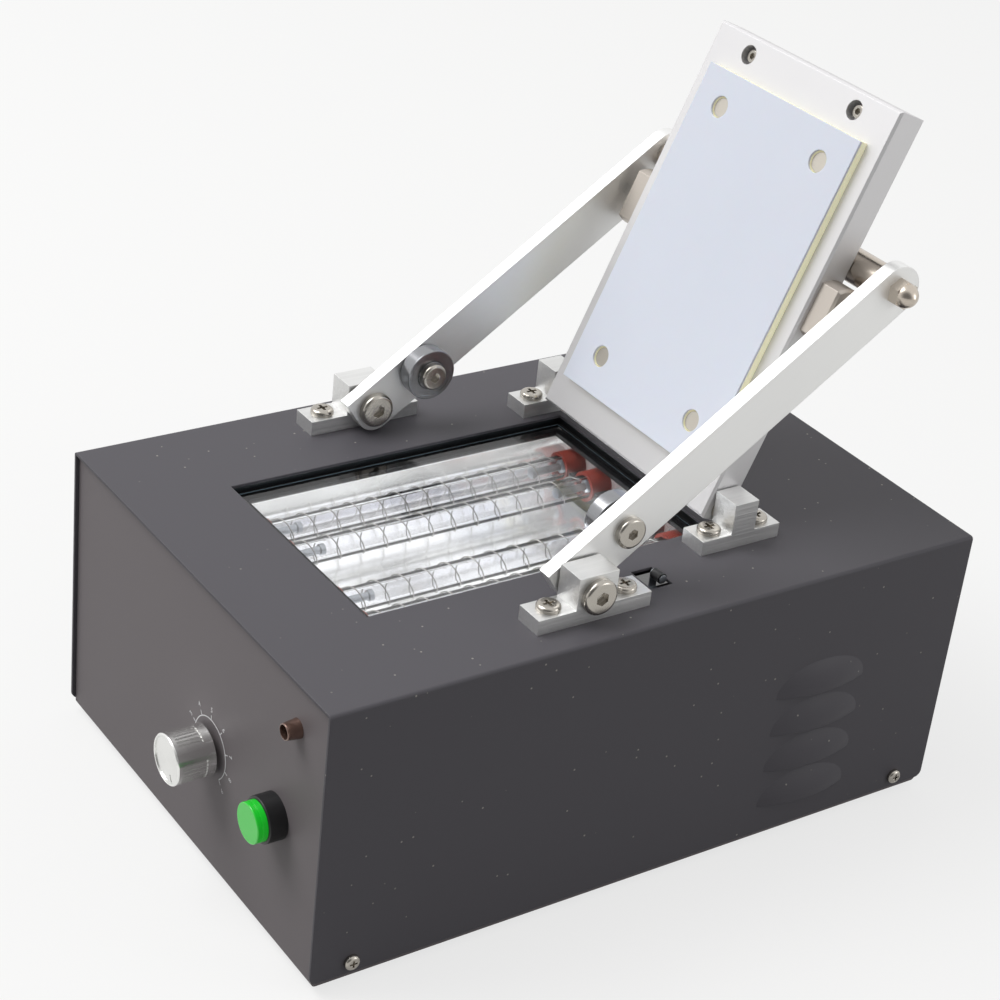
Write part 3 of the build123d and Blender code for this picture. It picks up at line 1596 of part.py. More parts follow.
with BuildPart() as roller_end_screws:
    for side, hand in SIDES:
        with Locations(
            Location((side * bearing_inner_face, roller_place.Y, roller_place.Z), (0, -side * 90, 0))
        ):
            add(roller_end_screw)

roller_end_screws.part.label = "roller_end_screws"
export_step(roller_end_screws.part, "parts/roller_end_screws.step")

# Press plate with its chamfered face, its pin bores and the counterbores of the grip screws
plate_back = plate_face.offset(-plate_thickness)
grip_spots = [(side * grip_screw_offset, grip_screw_along) for side, hand in SIDES]

with BuildPart() as press_plate:
    with BuildSketch(plate_face):
        Rectangle(plate_width, plate_length, align=(Align.CENTER, Align.MIN))
    extrude(amount=-plate_thickness)
    chamfer(press_plate.faces().sort_by(Axis(plate_origin, plate_out))[-1].edges(), length=plate_chamfer)
    with BuildSketch(plate_face):
        with Locations(*grip_spots):
            Circle(grip_bore_diameter / 2)
    extrude(amount=-grip_bore_depth, mode=Mode.SUBTRACT)
    with BuildSketch(plate_face):
        with Locations(*grip_spots):
            Circle(grip_screw_diameter / 2 + still_fit)
    extrude(amount=-plate_thickness, mode=Mode.SUBTRACT)
    for side, hand in SIDES:
        with BuildSketch(plate_side(side * half_plate)):
            with Locations((hinge_from_edge, -hinge_from_face)):
                Circle(hinge_pin_diameter / 2 + still_fit)
        extrude(amount=-side * hinge_pin_in_plate, mode=Mode.SUBTRACT)
        with BuildSketch(plate_side(side * half_plate)):
            with Locations((block_along, -block_back)):
                Circle(block_screw_diameter / 2 + still_fit)
        extrude(amount=-side * (block_screw_depth + still_fit), mode=Mode.SUBTRACT)

press_plate.part.label = "press_plate"
export_step(press_plate.part, "parts/press_plate.step")

with BuildPart() as hinge_pins:
    for side, hand in SIDES:
        with BuildSketch(plate_side(side * (half_plate - hinge_pin_in_plate))):
            with Locations((hinge_from_edge, -hinge_from_face)):
                Circle(hinge_pin_diameter / 2)
        extrude(
            amount=side * (hinge_pin_in_plate + rear_bracket_inner - half_plate + hinge_pin_in_bracket)
        )

hinge_pins.part.label = "hinge_pins"
export_step(hinge_pins.part, "parts/hinge_pins.step")

# Round press blocks on both sides of the plate, flat towards its face
with BuildPart() as press_blocks:
    for side, hand in SIDES:
        with BuildSketch(plate_side(side * half_plate)):
            with Locations((block_along, -block_back)):
                Circle(block_radius)
            with Locations((block_along, -block_flat)):
                Rectangle(
                    4 * block_radius,
                    2 * block_radius,
                    align=(Align.CENTER, Align.MIN),
                    mode=Mode.SUBTRACT,
                )
        extrude(amount=side * block_width)
    outer_faces = press_blocks.faces().filter_by(Axis.X).sort_by(Axis.X)
    chamfer(outer_faces[0].edges() + outer_faces[-1].edges(), length=block_chamfer)
    for side, hand in SIDES:
        with BuildSketch(plate_side(side * half_plate)):
            with Locations((block_along, -block_back)):
                Circle(block_screw_diameter / 2 + still_fit)
        extrude(amount=side * block_width, mode=Mode.SUBTRACT)
        with BuildSketch(plate_side(side * (half_plate + block_width))):
            with Locations((block_along, -block_back)):
                Circle(block_screw_head / 2 + still_fit)
        extrude(amount=-side * (block_screw_head_height + still_fit), mode=Mode.SUBTRACT)

press_blocks.part.label = "press_blocks"
export_step(press_blocks.part, "parts/press_blocks.step")

# Pad on the plate's face: foam below a smooth sheet, both cut out over four round discs
disc_spots = []
for side, hand in SIDES:
    for along in (disc_low, disc_high):
        disc_spots.append((side * disc_offset, along))

for name, start, thickness in (
    ("foam_pad", 0, foam_thickness),
    ("pad_sheet", foam_thickness, pad_sheet_thickness),
):
    with BuildPart() as pad_layer:
        with BuildSketch(plate_face.offset(start)):
            with Locations((0, pad_start + pad_length / 2)):
                Rectangle(pad_width, pad_length)
            with Locations(*disc_spots):
                Circle(disc_hole_diameter / 2, mode=Mode.SUBTRACT)
        extrude(amount=thickness)

    pad_layer.part.label = name
    export_step(pad_layer.part, f"parts/{name}.step")

with BuildPart() as pad_discs:
    with BuildSketch(plate_face):
        with Locations(*disc_spots):
            Circle(disc_diameter / 2)
    extrude(amount=disc_thickness)

pad_discs.part.label = "pad_discs"
export_step(pad_discs.part, "parts/pad_discs.step")

# Lift grip on the back of the plate, at its free end
with BuildPart() as lift_grip:
    with BuildSketch(plate_back):
        with Locations((0, grip_top)):
            Rectangle(grip_length, grip_depth, align=(Align.CENTER, Align.MAX))
    extrude(amount=-grip_height)
    outer = lift_grip.faces().sort_by(Axis(plate_origin, plate_out))[0]
    fillet(outer.edges(), radius=grip_round)
    with BuildSketch(plate_back):
        with Locations(*grip_spots):
            Circle(grip_screw_diameter / 2 + still_fit)
    extrude(amount=-(grip_screw_depth + still_fit), mode=Mode.SUBTRACT)

lift_grip.part.label = "lift_grip"
export_step(lift_grip.part, "parts/lift_grip.step")

# Socket screws of the plate: two hold the grip from the face, two hold the press blocks
grip_screw = socket_screw(
    grip_screw_diameter,
    grip_screw_head,
    grip_screw_diameter,
    plate_thickness - grip_bore_depth + grip_screw_depth,
    grip_socket,
    cap_dome,
)
block_screw = socket_screw(
    block_screw_diameter,
    block_screw_head,
    block_screw_head_height,
    block_width - block_screw_head_height + block_screw_depth,
    block_socket,
    cap_dome,
)
grip_seat = plate_face.offset(-grip_bore_depth)

with BuildPart() as plate_screws:
    for x, along in grip_spots:
        seat = Plane(
            origin=grip_seat.from_local_coords((x, along, 0)), x_dir=(1, 0, 0), z_dir=plate_out
        )
        with Locations(seat.location):
            add(grip_screw)
    for side, hand in SIDES:
        x = side * (half_plate + block_width - block_screw_head_height)
        place = plate_side(x).from_local_coords((block_along, -block_back, 0))
        with Locations(Location(place, (0, side * 90, 0))):
            add(block_screw)

plate_screws.part.label = "plate_screws"
export_step(plate_screws.part, "parts/plate_screws.step")
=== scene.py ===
"""Flash stamp machine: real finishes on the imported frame, its small pieces, and a studio."""

import json
import logging
import math
from dataclasses import dataclass, replace
from enum import Enum
from typing import Any, Iterable, Sequence

import bmesh
import bpy
from mathutils import Matrix, Vector


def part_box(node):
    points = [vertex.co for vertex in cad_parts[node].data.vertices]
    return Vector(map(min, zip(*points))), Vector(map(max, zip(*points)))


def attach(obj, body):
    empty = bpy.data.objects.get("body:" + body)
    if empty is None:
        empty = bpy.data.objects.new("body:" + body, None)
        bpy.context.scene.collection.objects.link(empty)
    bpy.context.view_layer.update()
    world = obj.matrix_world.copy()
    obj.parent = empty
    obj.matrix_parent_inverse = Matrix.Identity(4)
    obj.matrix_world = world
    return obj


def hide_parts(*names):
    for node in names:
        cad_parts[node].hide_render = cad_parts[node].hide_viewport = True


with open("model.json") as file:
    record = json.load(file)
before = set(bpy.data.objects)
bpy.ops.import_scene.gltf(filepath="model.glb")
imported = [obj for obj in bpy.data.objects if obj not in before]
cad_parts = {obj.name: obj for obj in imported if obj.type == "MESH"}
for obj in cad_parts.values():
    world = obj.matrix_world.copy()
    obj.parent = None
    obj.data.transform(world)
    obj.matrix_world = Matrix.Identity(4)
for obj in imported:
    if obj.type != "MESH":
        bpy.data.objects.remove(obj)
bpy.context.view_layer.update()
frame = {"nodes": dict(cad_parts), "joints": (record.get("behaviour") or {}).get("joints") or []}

MM = 0.001
Point = tuple[float, float, float]
Outline = Sequence[tuple[float, float]]
Tree = bpy.types.NodeTree
Socket = bpy.types.NodeSocket

# Sockets of a colour Mix node, which have no names of their own: its two colours and its result.
FIRST_COLOUR, SECOND_COLOUR, MIXED_COLOUR = 6, 7, 2

log = logging.getLogger("flash_stamp_machine")


def linear(code: str, gain: float = 1.0) -> tuple[float, float, float, float]:
    """Turns an sRGB hex value to the linear colour that a shader takes.

    Args:
        code: six hex digits, such as "8a8c90".
        gain: how much brighter or darker than that the colour is.

    Returns:
        Red, green, blue and alpha, from 0 to 1.
    """
    parts = []
    for place in (0, 2, 4):
        value = int(code[place : place + 2], 16) / 255
        value = value / 12.92 if value <= 0.04045 else ((value + 0.055) / 1.055) ** 2.4
        parts.append(min(1.0, value * gain))
    return (parts[0], parts[1], parts[2], 1.0)


def add_node(
    tree: Tree,
    kind: str,
    settings: dict[str, Any] | None = None,
    values: dict[Any, Any] | None = None,
    links: dict[Any, Socket] | None = None,
) -> bpy.types.Node:
    """Adds a node with its settings and links.

    Args:
        tree: the node tree that takes the node.
        kind: the node's type name.
        settings: attributes of the node.
        values: constants for its input sockets.
        links: output sockets that feed its input sockets.

    Returns:
        The new node.
    """
    node = tree.nodes.new(kind)
    for name, value in (settings or {}).items():
        setattr(node, name, value)
    for name, value in (values or {}).items():
        node.inputs[name].default_value = value
    for name, socket in (links or {}).items():
        tree.links.new(socket, node.inputs[name])
    return node


def blank_material(name: str) -> bpy.types.Material:
    """Makes a material without any nodes.

    Args:
        name: the material's name.

    Returns:
        The material.
    """
    material = bpy.data.materials.new(name)
    material.use_nodes = True
    material.node_tree.nodes.clear()
    return material


class Work(Enum):
    """How a surface was made, which sets the pattern on it."""

    MOULDED = "moulded"
    POWDER = "powder coated"
    BRUSHED_X = "drawn or brushed along X"
    BRUSHED_Y = "drawn or brushed along Y, turned about X by a lean"
    TURNED = "turned on a lathe about an axis along Y"
    BLASTED = "bead blasted"
    FOAMED = "foamed"
    FOLDED = "folded from bright foil"


# How many times longer than wide a brushed line is, and a streak in rolled foil.
BRUSHED_STRETCH = 45.0
FOLDED_STRETCH = 6.0
# The noise of a fine grain and of the broad patches, and the grain's share in the colour.
GRAIN_DETAIL = 3.0
GRAIN_ROUGHNESS = 0.55
PATCH_DETAIL = 2.0
GRAIN_SHARE = 0.35
EDGE_SAMPLES = 4
LEAST_ROUGHNESS = 0.02
QUARTER_TURN = 0.25
# How far light goes into a soft material, in millimetres.
SOFT_REACH = 2.0
# An edge starts to take its lighter colour, partly rubbed coat and partly painted highlight,
# and takes it fully, at these cosines to its flat neighbour.
WEAR_AND_HIGHLIGHT_START = 0.995
WEAR_AND_HIGHLIGHT_FULL = 0.86
MOST_WEAR_AND_HIGHLIGHT = 0.75
# A speck's rim, core and cover, as shares of the cell that it lies in, and which cells have one.
DUST_COLOUR = "b9b4ac"
SPECK_RIM = 0.1
SPECK_CORE = 0.06
SPECK_COVER = 0.7
SPECK_NONE = 0.66
SPECK_ALWAYS = 0.7


@dataclass(frozen=True)
class Finish:
    """A real material and how its surface was worked. Sizes are in millimetres.

    Attributes:
        name, colour: the material's name, and its sRGB hex value.
        roughness, spread: the middle of its roughness, and how far it varies to each side.
        tone, patch: how far the colour varies to each side, and over what distance.
        work, grain, depth: how the surface was made, and its pattern's spacing and height.
        metallic: 1 for bare metal, less under an anodised or tinted skin.
        ior: its index of refraction, unless it is a metal.
        edge, worn_and_highlight: the radius that an edge looks rounded to, and its lighter colour
        there, partly rubbed coat and partly painted highlight.
        lean, centre: a brushed line's lean from Y in degrees, and a point on a lathe's axis.
        anisotropy, coat: how far turning draws highlights out, and the share of a clear skin.
        painted_glow, soft: a painted glow on a part that is no lamp, and the share of light
        that goes in.
        specks: the spacing of the cells that may hold a speck of dust, or 0.
    """

    name: str
    colour: str
    roughness: float
    work: Work = Work.MOULDED
    metallic: float = 0.0
    ior: float = 1.5
    grain: float = 0.5
    depth: float = 0.004
    spread: float = 0.05
    tone: float = 0.04
    patch: float = 45.0
    edge: float = 0.25
    worn_and_highlight: str = ""
    lean: float = 0.0
    centre: Point = (0.0, 0.0, 0.0)
    anisotropy: float = 0.0
    coat: float = 0.0
    painted_glow: float = 0.0
    specks: float = 0.0
    soft: float = 0.0

    def pattern(self, tree: Tree) -> Socket:
        """Adds the pattern of the worked surface.

        Args:
            tree: the material's node tree.

        Returns:
            The socket that gives the pattern's height, from 0 to 1.
        """
        place = add_node(tree, "ShaderNodeTexCoord")
        per_metre = 1000 / self.grain
        scale = {
            Work.BRUSHED_X: (per_metre / BRUSHED_STRETCH, per_metre, per_metre),
            Work.BRUSHED_Y: (per_metre, per_metre / BRUSHED_STRETCH, per_metre),
            Work.FOLDED: (per_metre, per_metre / FOLDED_STRETCH, per_metre),
        }.get(self.work, (per_metre, per_metre, per_metre))
        turned = add_node(
            tree, "ShaderNodeMapping",
            values={
                "Location": tuple(-c * MM for c in self.centre),
                "Rotation": (-math.radians(self.lean), 0, 0),
            },
            links={"Vector": place.outputs["Object"]},
        )
        sized = add_node(
            tree, "ShaderNodeVectorMath", settings={"operation": "MULTIPLY"}, values={1: scale},
            links={0: turned.outputs["Vector"]},
        )
        if self.work is Work.TURNED:
            rings = add_node(
                tree, "ShaderNodeTexWave", settings={"wave_type": "RINGS", "rings_direction": "Y"},
                values={"Scale": 1.0, "Distortion": 0.0},
                links={"Vector": sized.outputs["Vector"]},
            )
            return rings.outputs["Fac"]
        if self.work is Work.FOAMED:
            cells = add_node(
                tree, "ShaderNodeTexVoronoi", values={"Scale": 1.0},
                links={"Vector": sized.outputs["Vector"]},
            )
            return cells.outputs["Distance"]
        grain = add_node(
            tree, "ShaderNodeTexNoise",
            values={"Scale": 1.0, "Detail": GRAIN_DETAIL, "Roughness": GRAIN_ROUGHNESS},
            links={"Vector": sized.outputs["Vector"]},
        )
        return grain.outputs["Fac"]

    def material(self) -> bpy.types.Material:
        """Builds the material, once for each finish.

        Returns:
            The material.
        """
        known = bpy.data.materials.get(self.name)
        if known:
            return known
        material = blank_material(self.name)
        tree = material.node_tree
        pattern = self.pattern(tree)
        place = add_node(tree, "ShaderNodeTexCoord")
        patches = add_node(
            tree, "ShaderNodeTexNoise", values={"Scale": 1000 / self.patch, "Detail": PATCH_DETAIL},
            links={"Vector": place.outputs["Object"]},
        )
        mottle = add_node(
            tree, "ShaderNodeMix", values={"Factor": GRAIN_SHARE},
            links={"A": patches.outputs["Fac"], "B": pattern},
        )
        colour = add_node(
            tree, "ShaderNodeMix", settings={"data_type": "RGBA"},
            values={
                FIRST_COLOUR: linear(self.colour, 1 - self.tone),
                SECOND_COLOUR: linear(self.colour, 1 + self.tone),
            },
            links={"Factor": mottle.outputs["Result"]},
        ).outputs[MIXED_COLOUR]
        round_edge = add_node(
            tree, "ShaderNodeBevel", settings={"samples": EDGE_SAMPLES},
            values={"Radius": self.edge * MM},
        )
        # Painted highlight mixed with rubbed coat: a lighter colour laid along the edges.
        if self.worn_and_highlight:
            rubbed_and_highlit_edges = self.rubbed_and_highlit_edges(tree, round_edge)
            colour = self.lay_over(tree, colour, self.worn_and_highlight, rubbed_and_highlit_edges, patches.outputs["Fac"])
        if self.specks:
            colour = self.lay_over(tree, colour, DUST_COLOUR, *self.dust(tree))
        rough = add_node(
            tree, "ShaderNodeMapRange",
            values={
                "To Min": max(LEAST_ROUGHNESS, self.roughness - self.spread),
                "To Max": min(1.0, self.roughness + self.spread),
            },
            links={"Value": mottle.outputs["Result"]},
        )
        bump = add_node(
            tree, "ShaderNodeBump", values={"Distance": self.depth * MM, "Strength": 1.0},
            links={"Height": pattern, "Normal": round_edge.outputs["Normal"]},
        )
        constants = {
            "Metallic": self.metallic, "Coat Weight": self.coat, "Anisotropic": self.anisotropy
        }
        if self.anisotropy:
            constants["Anisotropic Rotation"] = QUARTER_TURN
        if not self.metallic:
            constants["IOR"] = self.ior
        if self.soft:
            constants["Subsurface Weight"] = self.soft
            constants["Subsurface Scale"] = SOFT_REACH * MM
        # Painted glow: emission in the finish's own colour, on a part that is no lamp.
        if self.painted_glow:
            constants["Emission Color"] = linear(self.colour)
            constants["Emission Strength"] = self.painted_glow
        shader = add_node(
            tree, "ShaderNodeBsdfPrincipled",
            values=constants,
            links={
                "Base Color": colour,
                "Roughness": rough.outputs["Result"],
                "Normal": bump.outputs["Normal"],
            },
        )
        if self.anisotropy:
            round_axis = {"direction_type": "RADIAL", "axis": "Y"}
            way = add_node(tree, "ShaderNodeTangent", settings=round_axis)
            tree.links.new(way.outputs["Tangent"], shader.inputs["Tangent"])
        add_node(tree, "ShaderNodeOutputMaterial", links={"Surface": shader.outputs["BSDF"]})
        return material

    def rubbed_and_highlit_edges(self, tree: Tree, round_edge: bpy.types.Node) -> Socket:
        """Finds the edges, lighter with rubbed coat and with a painted highlight.

        Args:
            tree: the material's node tree.
            round_edge: the Bevel node whose normal leaves the surface's at an edge.

        Returns:
            The mask of the edges.
        """
        surface = add_node(tree, "ShaderNodeNewGeometry")
        cosine = add_node(
            tree, "ShaderNodeVectorMath", settings={"operation": "DOT_PRODUCT"},
            links={0: surface.outputs["Normal"], 1: round_edge.outputs["Normal"]},
        )
        edge = add_node(
            tree, "ShaderNodeMapRange",
            values={"From Min": WEAR_AND_HIGHLIGHT_START, "From Max": WEAR_AND_HIGHLIGHT_FULL, "To Max": MOST_WEAR_AND_HIGHLIGHT},
            links={"Value": cosine.outputs["Value"]},
        )
        return edge.outputs["Result"]

    def dust(self, tree: Tree) -> tuple[Socket, Socket]:
        """Sprinkles a few pale specks, which lie on every dark top in a workshop.

        Args:
            tree: the material's node tree.

        Returns:
            The mask of a speck in every cell, and the mask of the cells that have one.
        """
        place = add_node(tree, "ShaderNodeTexCoord")
        cells = add_node(
            tree, "ShaderNodeTexVoronoi", values={"Scale": 1000 / self.specks},
            links={"Vector": place.outputs["Object"]},
        )
        speck = add_node(
            tree, "ShaderNodeMapRange",
            values={"From Min": SPECK_RIM, "From Max": SPECK_CORE, "To Max": SPECK_COVER},
            links={"Value": cells.outputs["Distance"]},
        )
        chosen = add_node(
            tree, "ShaderNodeMapRange", values={"From Min": SPECK_NONE, "From Max": SPECK_ALWAYS},
            links={"Value": cells.outputs["Color"]},
        )
        return speck.outputs["Result"], chosen.outputs["Result"]

    def lay_over(
        self, tree: Tree, colour: Socket, code: str, first: Socket, second: Socket
    ) -> Socket:
        """Lays a plain colour over the one so far, as far as two masks both let it.

        Args:
            tree: the material's node tree.
            colour: the colour so far.
            code: the plain colour's sRGB hex value.
            first: one mask.
            second: the other mask.

        Returns:
            The socket of the mixed colour.
        """
        share = add_node(
            tree, "ShaderNodeMath", settings={"operation": "MULTIPLY", "use_clamp": True},
            links={0: first, 1: second},
        )
        mixed = add_node(
            tree, "ShaderNodeMix", settings={"data_type": "RGBA"},
            values={SECOND_COLOUR: linear(code)},
            links={"Factor": share.outputs["Value"], FIRST_COLOUR: colour},
        )
        return mixed.outputs[MIXED_COLOUR]


@dataclass(frozen=True)
class Glazing:
    """Clear glass that lets the lamps through. A thin wall doesn't bend what is behind it."""

    name: str
    colour: str
    roughness: float
    ior: float = 1.5
    thin: bool = False

    def material(self) -> bpy.types.Material:
        """Builds the material, once for each glass.

        Returns:
            The material.
        """
        known = bpy.data.materials.get(self.name)
        if known:
            return known
        material = blank_material(self.name)
        tree = material.node_tree
        tint = linear(self.colour)
        body = {"Metallic": 1.0} if self.thin else {"IOR": self.ior, "Transmission Weight": 1.0}
        shader = add_node(
            tree, "ShaderNodeBsdfPrincipled",
            values={"Base Color": tint, "Roughness": self.roughness, **body},
        )
        open_way = add_node(tree, "ShaderNodeBsdfTransparent", values={"Color": tint})
        if self.thin:
            gloss = add_node(tree, "ShaderNodeFresnel", values={"IOR": self.ior})
            share, first, second = gloss.outputs["Fac"], open_way, shader
        else:
            path = add_node(tree, "ShaderNodeLightPath")
            share, first, second = path.outputs["Is Shadow Ray"], shader, open_way
        mix = add_node(
            tree, "ShaderNodeMixShader",
            links={"Fac": share, 1: first.outputs["BSDF"], 2: second.outputs["BSDF"]},
        )
        add_node(tree, "ShaderNodeOutputMaterial", links={"Surface": mix.outputs["Shader"]})
        return material


# Powder coat on steel sheet: a fine orange peel that breaks the reflection up, satin rather than
# glossy, lighter on the folds with rubbed coat and a painted highlight, with specks of dust on it.
COVER_COAT = Finish(
    "powder_coated_steel_cover", "57555a", 0.5, Work.POWDER, ior=1.32, grain=0.7, depth=0.012,
    tone=0.05, patch=70, edge=0.7, worn_and_highlight="86838a", specks=5.0,
)
# The panels are coated smoother and browner, so their light falls off softly, and their edges
# are a little lighter with rubbed coat and a painted highlight.
PANEL_COAT = Finish(
    "powder_coated_steel_panel", "787274", 0.5, Work.POWDER, ior=1.33, grain=0.35, tone=0.05,
    patch=90, edge=0.4, worn_and_highlight="7b7373",
)
# Anodised extrusion: pale, matt and even, with faint lines along the way it was drawn.
PLATE_ANODISE = Finish(
    "bead_blasted_anodised_aluminium_plate", "d8d7d8", 0.55, Work.BLASTED, metallic=0.75,
    grain=0.35, depth=0.012, tone=0.03, edge=0.35,
)
ARM_ANODISE = Finish(
    "brushed_anodised_aluminium_arm", "eeeeed", 0.42, Work.BRUSHED_Y, metallic=0.85, grain=0.35,
    depth=0.008, tone=0.05, edge=0.3, lean=34.2,
)
# The grooves that the die left on the brackets are coarse and deep enough to show.
BRACKET_ANODISE = Finish(
    "extruded_anodised_aluminium_bracket", "dededd", 0.4, Work.BRUSHED_Y, metallic=0.85, grain=1.3,
    depth=0.16, tone=0.3, edge=0.3,
)
BLOCK_ANODISE = Finish(
    "turned_anodised_aluminium_block", "c6beb5", 0.4, Work.BRUSHED_X, metallic=0.85, depth=0.01,
    tone=0.05, edge=0.3,
)
# Spun and diamond-turned aluminium: rings about the axis draw the light out to a fan.
DIAL_METAL = Finish(
    "turned_aluminium_dial", "efefed", 0.22, Work.TURNED, metallic=1.0, depth=0.0015, spread=0.03,
    tone=0.03, edge=0.12, anisotropy=0.8,
)
RIM_METAL = Finish("diamond_cut_aluminium_rim", "f4f4f2", 0.1, Work.TURNED, metallic=1.0, tone=0.02)
# Nickel on steel: bright, slightly warm, with a soft skin.
NICKEL = Finish(
    "nickel_plated_steel", "b3aea6", 0.2, metallic=1.0, grain=1.2, depth=0.0006, tone=0.05,
    edge=0.35,
)
# Ground rod and turned caps: fine lines, warmer than the aluminium round them.
GROUND_STEEL = Finish(
    "ground_stainless_steel", "c8beb2", 0.25, Work.BRUSHED_X, metallic=1.0, grain=0.4, tone=0.06
)
BEARING_STEEL = Finish(
    "polished_bearing_steel", "97989b", 0.2, metallic=1.0, grain=1.5, depth=0.0005, tone=0.05,
    edge=0.35,
)
SHEET_STEEL = Finish("zinc_plated_sheet_steel", "a9adb2", 0.32, metallic=1.0, grain=2.5, tone=0.08)
# Bright aluminium sheet in the flash unit: nearly a mirror, drawn out in soft streaks, with a
# painted glow that makes it paler than its surroundings, in place of light trapped in the chamber.
REFLECTOR_METAL = Finish(
    "bright_rolled_aluminium", "fafafa", 0.14, Work.FOLDED, metallic=0.85, grain=9.0, depth=0.03,
    tone=0.02, edge=0.5, painted_glow=0.19,
)
WIRE_METAL = Finish("tinned_trigger_wire", "9c9a97", 0.3, metallic=1.0, tone=0.05, edge=0.02)
# Moulded plastics and rubbers: a fine spark-eroded grain, never quite black.
BLACK_ABS = Finish("moulded_black_abs", "1b1b1d", 0.42, grain=0.4, depth=0.01, tone=0.1)
BLACK_ENAMEL = Finish(
    "black_painted_window_frame", "0e0e10", 0.32, Work.POWDER, grain=0.8, depth=0.008
)
BLACK_RUBBER = Finish("moulded_black_rubber", "19191a", 0.75, depth=0.02, tone=0.1, ior=1.52)
# Smoked plastic about the lamp, with a clear gloss, and the green cap, whose painted glow stands
# in for daylight shining through it.
BRONZE_PC = Finish(
    "smoked_bronze_polycarbonate", "80655a", 0.2, metallic=0.7, grain=0.8, depth=0.003, tone=0.12,
    coat=0.5,
)
LAMP_EPOXY = Finish("dark_amber_epoxy_lamp", "2a1710", 0.15, tone=0.1, ior=1.54)
GREEN_PC = Finish(
    "green_polycarbonate_cap", "12c228", 0.18, grain=1.0, depth=0.002, tone=0.05, ior=1.58,
    coat=0.3, painted_glow=0.32, soft=0.2,
)
SILICONE = Finish(
    "orange_silicone_rubber", "842b1a", 0.5, depth=0.01, tone=0.08, ior=1.43, soft=0.15
)
# Open-cell foam, cut clean at the edge and pale right through, under a smooth bluish film; a
# painted glow lightens it, most of all its shaded cut edge.
FOAM = Finish(
    "open_cell_polyurethane_foam", "f5f2cf", 0.9, Work.FOAMED, grain=0.55, depth=0.08, tone=0.06,
    edge=0.3, soft=0.1, painted_glow=0.3,
)
FILM = Finish(
    "smooth_silicone_film", "e8edf9", 0.34, grain=14.0, depth=0.05, tone=0.02, patch=60, edge=0.4,
    ior=1.45, soft=0.05,
)
DISC_METAL = Finish(
    "nickel_plated_disc", "cbc5ba", 0.35, metallic=0.8, grain=0.6, depth=0.01, tone=0.08
)
# What stands inside the case, and the two prints.
BOARD = Finish("glass_epoxy_board", "1c5a35", 0.4, grain=0.6, depth=0.01, tone=0.12, coat=0.3)
SLEEVE = Finish("capacitor_shrink_sleeve", "23232b", 0.35, grain=1.0, depth=0.01, tone=0.08)
WINDING = Finish("varnished_winding", "5c3d1e", 0.4, Work.BRUSHED_X, depth=0.05, tone=0.15)
PRINT = Finish("white_screen_print", "e9e9ea", 0.6, grain=0.3, depth=0.003, tone=0.03, edge=0.02)
BRASS = Finish("brass_blade", "c9a45a", 0.25, metallic=1.0, grain=0.8, tone=0.06)
# The pane's ground edge shows as a thin pale blue line.
GLASS_EDGE = Finish(
    "ground_glass_edge", "9fc3d6", 0.35, grain=0.3, depth=0.003, tone=0.1, ior=1.52
)
WINDOW_GLASS = Glazing("clear_float_glass", "feffff", 0.0, 1.45)
TUBE_GLASS = Glazing("clear_quartz_glass", "fdfdfe", 0.03, 1.2, thin=True)

# Faces that meet under this angle shade as one, in degrees.
SMOOTH_ANGLE = 35.0
# An arc has a step for each of this many degrees.
ARC_STEP = 5.0
# A numeral's height, as a share of its type size.
NUMERAL_SHARE = 0.7
NUMERAL_STEPS = 4


def mesh_piece(
    name: str,
    points: Iterable[Sequence[float]],
    faces: Iterable[Sequence[int]],
    finish: Finish,
    body: str,
    smooth: bool = True,
) -> bpy.types.Object:
    """Makes a mesh object that rides on a body.

    Args:
        name: the piece's name.
        points: its points in metres, in the row frame.
        faces: the point numbers of each face.
        finish: what it is made of.
        body: the CAD body that it moves with.
        smooth: whether faces that meet under SMOOTH_ANGLE shade as one.

    Returns:
        The object.
    """
    mesh = bpy.data.meshes.new(name)
    mesh.from_pydata([tuple(p) for p in points], [], [tuple(f) for f in faces])
    tidy = bmesh.new()
    tidy.from_mesh(mesh)
    bmesh.ops.recalc_face_normals(tidy, faces=tidy.faces)
    tidy.to_mesh(mesh)
    tidy.free()
    piece = bpy.data.objects.new(name, mesh)
    bpy.context.scene.collection.objects.link(piece)
    mesh.materials.append(finish.material())
    if smooth:
        mesh.shade_smooth()
        mesh.set_sharp_from_angle(angle=math.radians(SMOOTH_ANGLE))
    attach(piece, body)
    log.info("piece %s rides on %s", name, body)
    return piece


